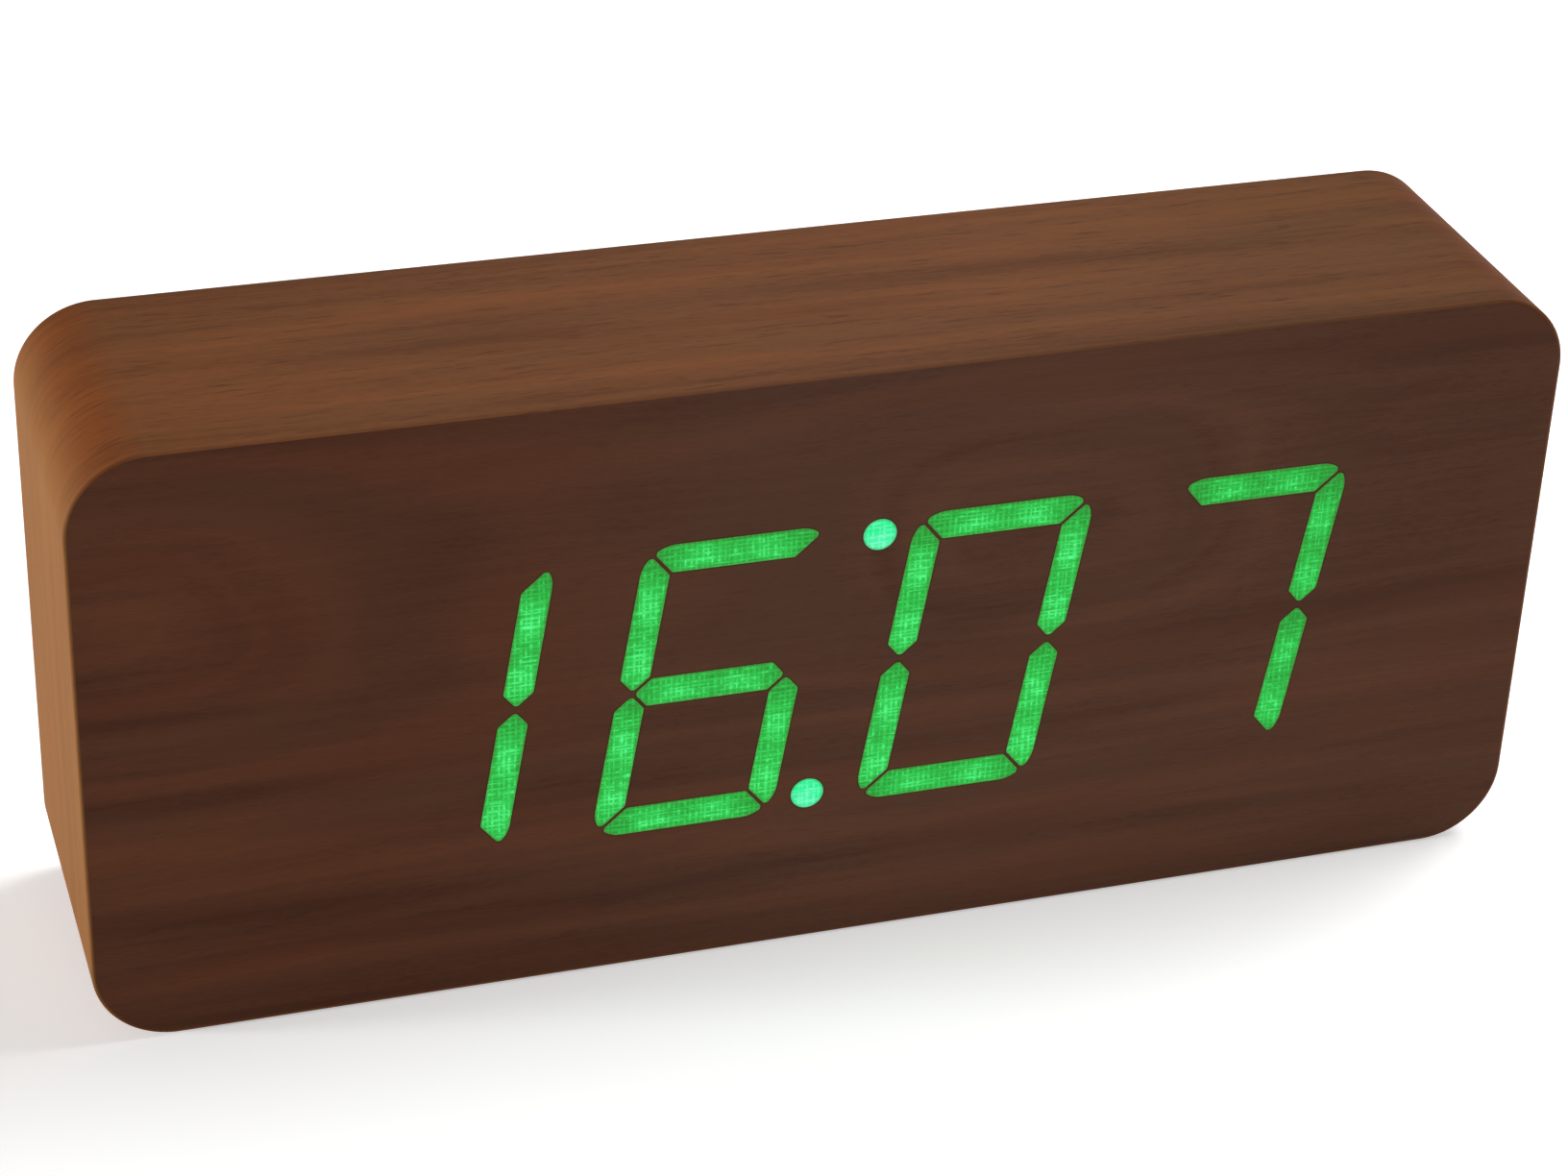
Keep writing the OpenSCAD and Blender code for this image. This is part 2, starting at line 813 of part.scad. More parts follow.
// A chip lying against a board, its legs along both long sides; grow is the way it stands off along Y
module chip(at, y, grow, length, width) {
    legs = floor((length - leg_w) / leg_pitch);
    translate([at[0], y, at[1]])
        rotate([grow > 0 ? -90 : 90, 0, 0]) {
            translate([-length / 2, -width / 2, leg_w / 2])
                cube([length, width, chip_t - leg_w / 2]);
            for (i = [0 : legs], turn = [0, 180])
                rotate(turn)
                    translate([(i - legs / 2) * leg_pitch - leg_w / 2, width / 2, 0]) {
                        cube([leg_w, leg_l, leg_w]);
                        cube([leg_w, leg_w, chip_t / 2]);
                    }
        }
}

module display_driver() {
    color(black_plastic)
        chip(driver_at, display_board_y, 1, chip_l, chip_w);
}

module socket_shape(y0, y1, slot_y0, slot_y1, z) {
    difference() {
        block([ribbon_x, z], y0, y1, ribbon_w + 2 * socket_wall, ribbon_t + 2 * socket_wall);
        block([ribbon_x, z], slot_y0, slot_y1, ribbon_w + 2 * socket_clear, ribbon_t + 2 * socket_clear);
    }
}

module display_socket() {
    top = display_board_y + socket_h;
    color(white_plastic)
        socket_shape(display_board_y, top, top - socket_in, top + 1, ribbon_z);
}

module main_socket() {
    top = main_front_y - socket_h;
    color(white_plastic)
        socket_shape(top, main_front_y, top - 1, top + socket_in, ribbon_z + ribbon_climb);
}

// The flat cable leaves one socket along Y, bends up and back again, and enters the other along Y
module ribbon_cable() {
    y0 = display_board_y + socket_h;
    y1 = main_front_y - socket_h;
    z1 = ribbon_z + ribbon_climb;
    turn = 2 * atan(ribbon_climb / (y1 - y0));
    r = (y1 - y0) / (2 * sin(turn));
    steps = 10;
    function edge(o) = concat(
        [[y0 - socket_in, ribbon_z + o]],
        [for (i = [0 : steps]) let (t = turn * i / steps)
            [y0 + (r - o) * sin(t), ribbon_z + o + (r - o) * (1 - cos(t))]],
        [for (i = [1 : steps]) let (t = turn * (1 - i / steps))
            [y1 - (r + o) * sin(t), z1 + o - (r + o) * (1 - cos(t))]],
        [[y1 + socket_in, z1 + o]]
    );
    low = edge(-ribbon_t / 2);
    high = edge(ribbon_t / 2);
    color(grey_plastic)
        translate([ribbon_x - ribbon_w / 2, 0, 0])
            rotate([90, 0, 90])
                linear_extrude(ribbon_w)
                    polygon(concat(low, [for (i = [len(high) - 1 : -1 : 0]) high[i]]));
}

module main_board() {
    color(board_green)
        difference() {
            block([board_x, mid_z], main_front_y, main_rear_y, board_w, board_h);
            each_pillar()
                bar([0, 0], main_front_y - 1, main_rear_y + 1, hole_d);
        }
}

module board_screws() {
    color(steel)
        each_pillar()
            translate([0, main_front_y, 0])
                rotate([90, 0, 0])
                    screw(pcb_t + pillar_bite);
}

module clock_chip() {
    color(black_plastic)
        chip(chip_at, main_front_y, -1, chip_l, chip_w);
}

module clock_crystal() {
    color(steel)
        translate([crystal_at[0], main_front_y - crystal_d / 2, crystal_at[1] - crystal_l / 2])
            cylinder(h = crystal_l, d = crystal_d);
}

module driver_transistors() {
    color(black_plastic)
        for (k = [-1, 1]) {
            at = transistor_at + [k * transistor_pitch / 2, 0];
            chip(at, main_front_y, -1, 3 * leg_pitch, 2 * leg_pitch);
        }
}

module smoothing_capacitor() {
    color(sleeve_blue)
        bar(capacitor_at, main_front_y - capacitor_h, main_front_y, capacitor_d);
}

module buzzer() {
    top = main_rear_y + buzzer_h;
    color(black_plastic)
        difference() {
            bar(buzzer_at, main_rear_y, top, buzzer_d);
            bar(buzzer_at, top - buzzer_hole_d, top + 1, buzzer_hole_d);
        }
}

module microphone() {
    color(steel)
        bar(mic_at, main_rear_y, main_rear_y + mic_h, mic_d);
}

collar_y = floor_y + jack_proud;

module power_socket() {
    color(black_plastic)
        difference() {
            union() {
                block(jack_at, main_rear_y, under_y - jack_clear, jack_w, jack_w);
                bar(jack_at, under_y - jack_clear, collar_y, jack_d);
            }
            bar(jack_at, collar_y - jack_depth, collar_y + 1, jack_bore);
        }
}

module power_socket_pin() {
    color(brass)
        bar(jack_at, collar_y - jack_depth, collar_y - jack_pin_drop, jack_pin_d);
}

// The set button is the first from the left for a person who looks at the back
function button_at(k) = [board_x + (1 - k) * button_pitch, button_z];

module switch_bodies() {
    color(grey_plastic)
        for (k = [0 : 2])
            difference() {
                block(button_at(k), main_rear_y, switch_y, switch_w, switch_w);
                bar(
                    button_at(k), switch_y - plunger_in - button_travel - plunger_clear, switch_y + 1,
                    plunger_d + 2 * plunger_clear
                );
            }
}

module plunger(k) {
    color(white_plastic)
        bar(button_at(k), switch_y - plunger_in, plunger_y, plunger_d);
}

module set_plunger() {
    plunger(0);
}

module up_plunger() {
    plunger(1);
}

module down_plunger() {
    plunger(2);
}

// A button cap; its mark is the flat form given as a child, drawn round the origin
module button(k) {
    top = floor_y + button_proud;
    color(grey_plastic) {
        bar(button_at(k), plunger_y, flange_y, button_stem_d);
        bar(button_at(k), flange_y - button_flange_t, flange_y, button_flange_d);
        bar(button_at(k), flange_y, top, button_d);
        slab(top, top + mark_h)
            translate(button_at(k))
                children();
    }
}

module triangle(up) {
    half = mark_w / 2;
    polygon([[-half, -up * half], [half, -up * half], [0, up * half]]);
}

module set_button() {
    button(0)
        circle(d = mark_w);
}

module up_button() {
    button(1)
        triangle(1);
}

module down_button() {
    button(2)
        triangle(-1);
}

module bay_outline(w, h) {
    translate([bay_x, mid_z])
        square([w, h], center = true);
}

// A round bar along X through the door's pivot
module pivot(x0, x1, d) {
    translate([x0, pivot_y, pivot_z])
        rotate([0, 90, 0])
            cylinder(h = x1 - x0, d = d);
}

// Middle of cell k in Z, counted from the lowest
function cell_z(k) = mid_z + (k - (cell_count + 1) / 2) * cell_pitch;
// Soldered tabs belong to the lowest and the highest cell
tabs = [cell_z(1) + tab_shift, cell_z(cell_count) - tab_shift];

module rear_panel() {
    sound_places = concat([[0, 0]], [for (a = [0 : 60 : 300]) sound_pitch * [cos(a), sin(a)]]);
    color(black_plastic)
        difference() {
            union() {
                slab(under_y, floor_y)
                    at_middle()
                        rounded(panel_w, panel_h, panel_r);
                slab(under_y, rim_y)
                    at_middle()
                        difference() {
                            rounded(panel_w, panel_h, panel_r);
                            rounded(panel_w - 2 * rim_t, panel_h - 2 * rim_t, panel_r - rim_t);
                        }
                slab(under_y - seat_t, under_y)
                    translate([bay_x, mid_z])
                        rounded(seat_w, seat_h, seat_r);
                slab(bay_y - bay_floor_t, under_y)
                    bay_outline(bay_l + 2 * bay_wall, bay_h + 2 * bay_wall);
                each_pillar()
                    bar([0, 0], main_rear_y, under_y, pillar_d);
            }
            slab(bay_y, under_y + 1)
                bay_outline(bay_l, bay_h);
            slab(under_y, floor_y + 1)
                bay_outline(recess_w, recess_h);
            for (z = tabs)
                block(
                    [bay_x0 - bay_wall, z], main_rear_y - tab_clear, main_rear_y + contact_t + tab_clear,
                    4 * bay_wall, tab_w + 2 * tab_clear
                );
            pivot(bay_x - recess_w / 2 - pin_l, bay_x + recess_w / 2 + pin_l, pin_d + 2 * pin_clear);
            translate([bay_x - latch_w / 2, latch_nose_y, latch_z - latch_clear])
                rotate([0, 90, 0])
                    cylinder(h = latch_w, r = latch_nose);
            bar([bay_x, mid_z - recess_h / 2], floor_y - scoop_l, floor_y + 1, 2 * scoop_r);
            for (k = [0 : 2])
                bar(button_at(k), under_y - 1, floor_y + 1, button_d + 2 * button_clear);
            bar(jack_at, under_y - 1, floor_y + 1, jack_d + 2 * jack_clear);
            for (p = sound_places)
                bar(buzzer_at + p, under_y - 1, floor_y + 1, sound_d);
            bar(mic_at, under_y - 1, floor_y + 1, sound_d);
            each_panel_screw() {
                bar([0, 0], under_y - 1, floor_y + 1, hole_d);
                bar([0, 0], floor_y - screw_head_h, floor_y + 1, screw_head_d + 2 * head_clear);
            }
            each_pillar()
                bar([0, 0], main_rear_y - 1, main_rear_y + pillar_bite + point_clear, thread_d);
        }
}

module panel_screws() {
    color(steel)
        each_panel_screw()
            translate([0, floor_y - screw_head_h, 0])
                rotate([-90, 0, 0])
                    screw(panel_t - screw_head_h + panel_bite);
}

module battery_door() {
    bottom_z = mid_z - door_h / 2;
    color(black_plastic) {
        translate([bay_x - door_w / 2, under_y, bottom_z])
            cube([door_w, door_t, door_h - door_t / 2]);
        pivot(bay_x - door_w / 2, bay_x + door_w / 2, door_t);
        pivot(bay_x - door_w / 2 - pin_l, bay_x + door_w / 2 + pin_l, pin_d);
        translate([bay_x - latch_w / 2, under_y - latch_l, latch_z])
            cube([latch_w, latch_l, latch_t]);
        translate([bay_x - latch_w / 2, latch_nose_y, latch_z])
            rotate([0, 90, 0])
                cylinder(h = latch_w, r = latch_nose);
        for (i = [1 : 3])
            translate([bay_x - ridge_w / 2, floor_y, bottom_z + (i + 1) * ridge_pitch])
                cube([ridge_w, ridge_h, ridge_pitch / 2]);
    }
}

// Odd cells point their button ends at the main board, even cells away from it
function cell_way(k) = k % 2 == 1 ? -1 : 1;

// Lays a child that stands along Z into place k of the bay, its upper end where the button end touches
module in_bay(k) {
    translate([cell_way(k) < 0 ? bay_x0 + contact_t : bay_x1 - contact_t, cell_y, cell_z(k)])
        rotate([0, 90 * cell_way(k), 0])
            translate([0, 0, -cell_l])
                children();
}

module battery(k) {
    color(steel)
        in_bay(k) {
            cylinder(h = cell_l - nub_l, d = cell_d - 2 * sleeve_t);
            cylinder(h = cell_l, d = nub_d);
        }
}

module battery_1() {
    battery(1);
}

module battery_2() {
    battery(2);
}

module battery_3() {
    battery(3);
}

module battery_4() {
    battery(4);
}

module battery_sleeves() {
    color(sleeve_blue)
        for (k = [1 : cell_count])
            in_bay(k)
                translate([0, 0, sleeve_back])
                    difference() {
                        cylinder(h = cell_l - nub_l - 2 * sleeve_back, d = cell_d);
                        translate([0, 0, -1])
                            cylinder(h = cell_l, d = cell_d - 2 * sleeve_t);
                    }
}

// A plate against an end wall of the bay, from cell a to cell b
module plate(x, a, b) {
    z0 = cell_z(a) - contact_w / 2;
    translate([x, cell_y - contact_w / 2, z0])
        cube([contact_t, contact_w, cell_z(b) + contact_w / 2 - z0]);
}

module contact_plates() {
    tab_x = board_x + board_w / 2 - tab_lap;
    color(steel) {
        plate(bay_x0, 1, 1);
        plate(bay_x0, 2, 3);
        plate(bay_x0, 4, 4);
        plate(bay_x1 - contact_t, 1, 2);
        plate(bay_x1 - contact_t, 3, 4);
        for (z = tabs)
            translate([tab_x, main_rear_y, z - tab_w / 2])
                cube([bay_x0 + contact_t - tab_x, contact_t, tab_w]);
    }
}

// A conical spring along Z, wide end down: one wire of six sides, eight rings to a turn
spring_rings = round(spring_turns * 8);
function spring_point(u) =
    let (t = 360 * spring_turns * u, r = spring_base_r + (spring_tip_r - spring_base_r) * u)
        [r * cos(t), r * sin(t), spring_wire / 2 + (spring_l - spring_wire) * u];
spring_points = [for (i = [0 : spring_rings]) spring_point(i / spring_rings)];
spring_least_gap = min([
    for (i = [0 : spring_rings], j = [0 : spring_rings])
        if (j - i >= 5) norm(spring_points[i] - spring_points[j]) - spring_wire
]);
echo(spring_least_gap = spring_least_gap);

module contact_spring() {
    sides = 6;
    rings = [
        for (i = [0 : spring_rings])
            let (
                u = i / spring_rings,
                ahead = unit(spring_point(u + 0.002) - spring_point(u - 0.002)),
                out = unit([spring_points[i][0], spring_points[i][1], 0]),
                across = unit(cross(ahead, out)),
                up = cross(across, ahead)
            )
                [for (k = [0 : sides - 1])
                    spring_points[i] + spring_wire / 2 * (cos(60 * k) * up + sin(60 * k) * across)]
    ];
    walls = [
        for (i = [0 : spring_rings - 1], k = [0 : sides - 1])
            let (a = i * sides + k, b = i * sides + (k + 1) % sides)
                each [[a, b, b + sides], [a, b + sides, a + sides]]
    ];
    last = spring_rings * sides;
    ends = [for (k = [1 : sides - 2]) each [[0, k + 1, k], [last, last + k, last + k + 1]]];
    polyhedron(points = [for (ring = rings) each ring], faces = concat(walls, ends), convexity = 6);
}

module contact_springs() {
    color(steel)
        for (k = [1 : cell_count])
            translate([cell_way(k) < 0 ? bay_x1 - contact_t : bay_x0 + contact_t, cell_y, cell_z(k)])
                rotate([0, 90 * cell_way(k), 0])
                    contact_spring();
}

front_veneer();
lit_segments();
side_veneer();
rear_veneer();
veneer_scrim();
front_board();
core_frame();
rear_board();
display_reflector();
segment_lenses();
segment_leds();
display_board();
display_screws();
display_driver();
display_socket();
ribbon_cable();
main_socket();
main_board();
board_screws();
clock_chip();
clock_crystal();
driver_transistors();
smoothing_capacitor();
buzzer();
microphone();
power_socket();
power_socket_pin();
switch_bodies();
set_plunger();
up_plunger();
down_plunger();
set_button();
up_button();
down_button();
rear_panel();
panel_screws();
battery_door();
battery_1();
battery_2();
battery_3();
battery_4();
battery_sleeves();
contact_plates();
contact_springs();
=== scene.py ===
"""Looks of the wooden digital clock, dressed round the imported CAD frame. Values whose names end in _MM are
in millimetres, in which outlines, meshes and materials are worked out. Blender's own lengths are in metres.
Colours are linear red, green and blue."""

import json
import math

import bpy
import numpy as np
from mathutils import Matrix, Vector
from mathutils.geometry import delaunay_2d_cdt

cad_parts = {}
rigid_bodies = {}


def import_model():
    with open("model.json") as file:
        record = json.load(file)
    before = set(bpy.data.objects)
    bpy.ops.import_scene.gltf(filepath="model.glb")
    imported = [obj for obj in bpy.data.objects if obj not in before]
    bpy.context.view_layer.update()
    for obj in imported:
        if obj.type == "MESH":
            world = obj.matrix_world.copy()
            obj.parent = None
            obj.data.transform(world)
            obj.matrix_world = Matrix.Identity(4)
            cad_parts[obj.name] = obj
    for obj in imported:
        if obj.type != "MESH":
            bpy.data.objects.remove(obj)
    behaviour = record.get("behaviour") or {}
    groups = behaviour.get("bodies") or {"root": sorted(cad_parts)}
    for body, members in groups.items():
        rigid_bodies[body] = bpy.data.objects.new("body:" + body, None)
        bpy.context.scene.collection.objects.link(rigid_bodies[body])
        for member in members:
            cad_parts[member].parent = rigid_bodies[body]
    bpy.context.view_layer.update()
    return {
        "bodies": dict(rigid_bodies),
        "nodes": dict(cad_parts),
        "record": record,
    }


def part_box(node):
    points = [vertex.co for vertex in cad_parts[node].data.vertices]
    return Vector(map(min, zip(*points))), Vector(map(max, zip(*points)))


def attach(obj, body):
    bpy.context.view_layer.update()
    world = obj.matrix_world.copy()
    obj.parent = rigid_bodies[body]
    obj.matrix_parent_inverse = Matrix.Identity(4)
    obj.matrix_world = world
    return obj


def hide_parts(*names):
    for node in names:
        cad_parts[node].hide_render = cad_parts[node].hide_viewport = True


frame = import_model()

MM = 0.001
WHITE = (1, 1, 1)
# Ranges that hold most values of a noise
BROAD, USUAL, NARROW = (0.25, 0.75), (0.30, 0.70), (0.35, 0.65)
# How closely places, levels (in metres) and cuts are told apart
PLACE_DIGITS, LEVEL_SLACK, MERGE_MM, SLIVER_MM = 4, 1e-6, 1e-5, 1e-4

# Camera, solved from the corners and digits in the photograph
PHOTO_WIDTH_PX = 1632
SENSOR_MM = 36
CAMERA_AT = Vector((-0.15345, -0.45000, 0.32199))
CAMERA_RIGHT = Vector((0.95316, -0.30040, 0.03507))
CAMERA_DOWN = Vector((-0.12282, -0.49044, -0.86277))
CAMERA_FOCAL_PX = 4021.0
CLIP_START, CLIP_END = 0.01, 50

# Light: the strength of the world, and each lamp's place, size and watts
AMBIENT = 0.17
LAMPS_AIM = Vector((0, 0, 0.045))
LAMPS = {
    "key": (Vector((-1.30, 0.15, 0.10)), 0.2, 22.0),
    "fill": (Vector((1.20, 0.60, 0.30)), 0.6, 5.0),
    "top": (Vector((0.75, 0.20, 1.20)), 0.9, 14.6),
    "front": (Vector((0.00, -1.60, 0.20)), 0.6, 5.7),
}

# Floor: its own light near the object, seen directly or in a gloss, and where that rises to full white
FLOOR_RADIUS_MM, FLOOR_DROP_MM, FLOOR_SIDES = 6000.0, 0.2, 64
FLOOR_COLOUR, MOTTLE_SHARE, MOTTLE_MM = (0.9, 0.9, 0.89), (0.985, 0.985, 0.985), (40, 40, 40)
FLOOR_LIFT, FLOOR_FADE_MM = 0.44, (400.0, 1200.0)
FLOOR_ROUGH = 0.9

# Soft edges of small pieces: how far the rounded normal agrees with the true one, off and on an edge
EDGE_AGREES, EDGE_SAMPLES = (0.99, 0.8), 4

# Veneer meshes, with extra edges at SUPPORT_MM from each bend and arris
VENEER_T_MM = 0.5
ARRIS_MM, ARRIS_STEPS = 0.4, 5
SEAM_X_MM, SEAM_GAP_MM = 60.0, 0.1
CORNER_STEPS = 28
SUPPORT_MM = 0.3
SMOOTH_DEG = 30.0

# Walnut: each sheet's base colour, and the colours of its figure as shares of that
WRAP_WALNUT = (0.168, 0.0715, 0.0325)
# The front sheet's base colour is darker than the wrap's, partly as another sheet of wood and partly as
# painted shade on the front; the rear sheet uses it too
FRONT_WALNUT = (0.116, 0.0485, 0.0295)
DARK_SHARE, LIGHT_SHARE = (0.70, 0.71, 0.76), (1.32, 1.24, 1.12)
RED_SHARE, GREY_SHARE = (1.10, 0.97, 0.90), (0.95, 1.04, 1.08)
PORE_SHARE, RIM_SHARE = (0.50, 0.52, 0.58), (0.30, 0.36, 0.34)
VENEER_SOCKETS = {"Specular IOR Level": 0.02}
FRONT_RELIEF_MM, WRAP_RELIEF_MM = 0.03, 0.02
# Sizes of the figure's noises along and across the grain, and how far the grain sways
SWAY_MM, BANDS_MM, HUE_MM = (110, 40, 1), (120, 6, 1), (60, 7, 1)
STREAKS_MM, LINES_MM = (36, 1.5, 1), (9, 0.8, 1)
DASHES_MM, HAIRS_MM = (4.0, 0.34, 1), (1.8, 0.17, 1)
HUE_SHIFT_MM, GRAIN_SWAY_MM = (420, 21, 5), 1.0
# Ranges of those noises in which dark lines, red and grey tints, pores and roughness come in
LINE_RANGE, RED_RANGE, GREY_RANGE = (0.57, 0.68), (0.50, 0.70), (0.50, 0.30)
PORE_DASHES, PORE_HAIRS, PORE_DEPTH = (0.56, 0.72), (0.40, 0.60), 0.35
ROUGH_HAIRS, VENEER_ROUGH, HAIR_RELIEF = (0.2, 0.8), (0.62, 0.76), 0.5
# How far each part of the figure changes a sheet's tone, which is 0.5 in its base colour, and its hue
BASE_TONE = 0.5
FRONT_TONES = {"bands": 0.28, "streaks": 0.10, "dashes": 0.10, "hairs": 0.12, "lines": 0.10, "hue": 0.6}
WRAP_TONES = {"bands": 0.28, "streaks": 0.12, "dashes": 0.15, "hairs": 0.15, "lines": 0.50, "hue": 0.4}
# Streaks of each sheet: their middle along and across the grain, half their length and width, their tone
FRONT_STREAKS_MM = (
    (-95, 30, 62, 5.5, 0.45), (-100, 50, 60, 2.2, -0.40), (-100, 37, 45, 3.0, -0.30),
    (-80, 19, 70, 5.0, -0.26), (-92, 69, 34, 10.0, 0.20), (-54, 68, 16, 13.0, -0.22),
    (70, 44, 62, 4.0, -0.30), (50, 35, 70, 4.0, 0.20), (-80, 89, 90, 7.0, -0.30),
    (95, 88, 60, 9.0, -0.35), (-8, 20, 64, 18.0, 0.30), (-30, 12, 90, 2.5, -0.26),
    (19, 52, 24, 14.0, -0.24), (-106, 58, 16, 20.0, -0.30), (35, 5, 85, 10.0, 0.28),
)
WRAP_STREAKS_MM = (
    (195, 3, 75, 3.5, -0.35), (280, -3, 35, 4.0, -0.25), (200, -21, 110, 4.5, -0.30),
    (315, 6, 30, 6.0, 0.25), (200, -4, 30, 3.0, 0.30), (156, 7, 1.6, 0.8, -1.2),
    (165, 11, 55, 10.0, 0.42),
)
# Each sheet's slow change of tint along X, partly the wood's own tone and partly painted light and shade,
# warmer at the left end and darker at the right end: places in X and the tint at each
FRONT_TINTS_AND_LIGHT_MM = (
    (-70, (0.96, 0.88, 0.79)), (0, (1.02, 1.09, 1.14)), (60, (1.02, 1.09, 1.11)),
    (100, (0.95, 1.00, 1.02)),
)
WRAP_TINTS_AND_LIGHT_MM = (
    (-105, (1.02, 1.03, 0.74)), (-92, (1.05, 0.94, 0.84)), (-60, (1.06, 1.00, 0.98)),
    (-10, (1.09, 1.06, 1.09)), (30, (1.03, 1.02, 1.10)), (65, (0.86, 0.89, 0.95)),
    (95, (0.82, 0.83, 0.82)), (105, (0.92, 0.92, 0.92)),
)
# Eyes of the front's figure: each one's place and half its length, then how the rings lie round them
EYES_X_MM = ((30.0, 26.0), (-112.0, 34.0))
EYE_Z_MM, EYE_REACH_MM = 64.0, 22.0
EYE_DEPTH_MM, EYE_WANDER_MM, EYE_NOISE_MM = 21.0, 2.5, (40, 22, 1)
# The wrapped sheet has painted shade in its bends, most near their upper and lower thirds, and a painted
# highlight on its arrises
BEND_SHADE_SHARE, BEND_SHADE_PEAK, ARRIS_HIGHLIGHT = (0.80, 0.62, 0.52), 3.2, 0.2
# Its figure is calmer on the block's ends: distances in X from the middle, and how far
CALM_X_MM, CALM_SHARE = (99.0, 104.5), 0.5
# The rear sheet is cut from another place
BACK_SHIFT_MM, BACK_SEED = 900.0, 4.0

# Lit segments: their meshes, and the reach of the spots of light and how far these lie below the chips
RIM_MM = 0.22
INSETS_MM = (0.18, 0.45)
GRID_MM = 0.5
SPOT_MM, SPOT_DROP_MM = 3.9, 1.6
# Woven backing: for the gaps between its upright and its level threads, their pitch, how long one stays
# bright and how unevenly they lie, in millimetres, and the seed of their noises
UPRIGHT_GAPS = (0.78, 1.2, 0.32, 3.0)
LEVEL_GAPS = (0.73, 2.4, 0.36, 8.0)
# The size of the unevenness in pitches, the step in the noise from gap to gap, and the share under thread
UNEVEN_PITCHES, GAP_STEP, THREAD_SHARE = 1.7, 17.0, 0.30
GAP_RANGE, GAP_BRIGHTNESS = (0.36, 0.68), (0.05, 1.0)
WEAVE_SWAY_MM, WEAVE_NOISE_MM, WEAVE_CLOUD_MM = 0.10, (7, 7, 7), (1.6, 1.6, 1.6)
# Level of the light: shares of the gaps, the clouds, the spots and the grain, and the dimmer last digit
GAP_LIGHT, CLOUD_LIGHT = 0.80, (-0.02, 0.08)
SPOT_RANGE, SPOT_LIGHT = (0.05, 0.95), (-0.10, 0.44)
LIT_GRAIN_MM, LIT_GRAIN_RANGE, LIT_GRAIN_SHADE = (7, 0.3, 1), (0.56, 0.72), 0.3
DIM_X_MM, DIM_SHADE = (42.0, 58.0), 0.12
# Colours of the unlit wood, of the light at the levels 0, MID_LIGHT and 1, of its edge and of the dots
UNLIT, MID_LIGHT = (0.015, 0.008, 0.005), 0.5
GLOW_LOW, GLOW_MID, GLOW_HIGH = (0.018, 0.300, 0.036), (0.026, 0.570, 0.080), (0.090, 1.000, 0.260)
GLOW_EDGE, EDGE_MM, EDGE_SHARE = (0.070, 0.190, 0.036), 0.4, 0.6
DOT_LOW, DOT_HIGH, DOT_RANGE = (0.012, 0.880, 0.275), (0.210, 1.000, 0.640), (0.30, 0.95)
LIT_RELIEF_MM = 0.02

# Moulded plastic: its pits, peaks and edges, which are lighter partly by wear and partly as a painted
# highlight, are its colour times one number plus another
PIT, PEAK, RUB_AND_HIGHLIGHT = (0.45, 0.0), (1.35, 0.004), (1.8, 0.030)
PLASTIC_SOCKETS = {"Specular IOR Level": 0.3}
SKIN_CLOUD_MM, SKIN_CLOUD_TONE = (17, 17, 17), (-0.1, 0.1)
RUB_AND_HIGHLIGHT_EDGE_MM, RUB_AND_HIGHLIGHT_SHARE = 0.22, (0.35, 0.9)
SKIN_ROUGH, CLOUD_ROUGH = (-0.08, 0.10), 0.05
# Each plastic's colour and roughness, and the size and depth of its skin's grain in millimetres
PLASTICS = {
    "panel_plastic": ((0.012, 0.012, 0.013), 0.46, 0.45, 0.05),
    "reflector_plastic": ((0.60, 0.60, 0.58), 0.5, 0.45, 0.05),
    "led_plastic": ((0.75, 0.74, 0.62), 0.35, 0.1, 0.005),
    "chip_plastic": ((0.018, 0.018, 0.019), 0.55, 0.12, 0.01),
    "switch_plastic": ((0.020, 0.020, 0.021), 0.5, 0.15, 0.01),
    "plunger_plastic": ((0.30, 0.05, 0.04), 0.4, 0.12, 0.01),
    "socket_plastic": ((0.016, 0.016, 0.017), 0.4, 0.15, 0.01),
    "capacitor_sleeve": ((0.03, 0.035, 0.06), 0.35, 0.4, 0.008),
    "buzzer_plastic": ((0.02, 0.02, 0.02), 0.5, 0.18, 0.05),
}
BUTTON_PLASTIC = ((0.050, 0.051, 0.054), 0.45, 0.3, 0.03)
# White print on the tops of the buttons' raised marks, and how it is worn
PRINT_MM, PRINT_WHITE = 0.05, (0.72, 0.72, 0.70)
WEAR_MM, WEAR_RANGE, WEAR_SHARE = (0.35, 0.35, 0.35), (0.25, 0.35), (0.7, 1.0)

# Plated metal, with dull patches
PATCH_MM, PATCH_RANGE, DULL_SHARE = (2.5, 2.5, 2.5), (0.40, 0.75), (0.7, 0.7, 0.7)
PATCH_ROUGH, BRUSH_ROUGH = 0.15, 0.08
METAL_EDGE_MM, BRUSH_RELIEF_MM = 0.08, 0.008
STEEL = (0.62, 0.62, 0.64)
# Each metal's colour and roughness, and the size of its brush lines in millimetres
METALS = {
    "screw_steel": ((0.30, 0.30, 0.31), 0.32, (0.2, 0.2, 4.0)),
    "contact_steel": (STEEL, 0.26, (0.2, 0.2, 4.0)),
    "crystal_can": (STEEL, 0.22, (3.0, 0.2, 0.2)),
    "mic_can": (STEEL, 0.3, (0.2, 0.2, 4.0)),
    "socket_pin": ((0.66, 0.55, 0.32), 0.24, (0.2, 0.2, 4.0)),
    "cell_can": ((0.72, 0.72, 0.73), 0.2, (0.15, 3.0, 3.0)),
}

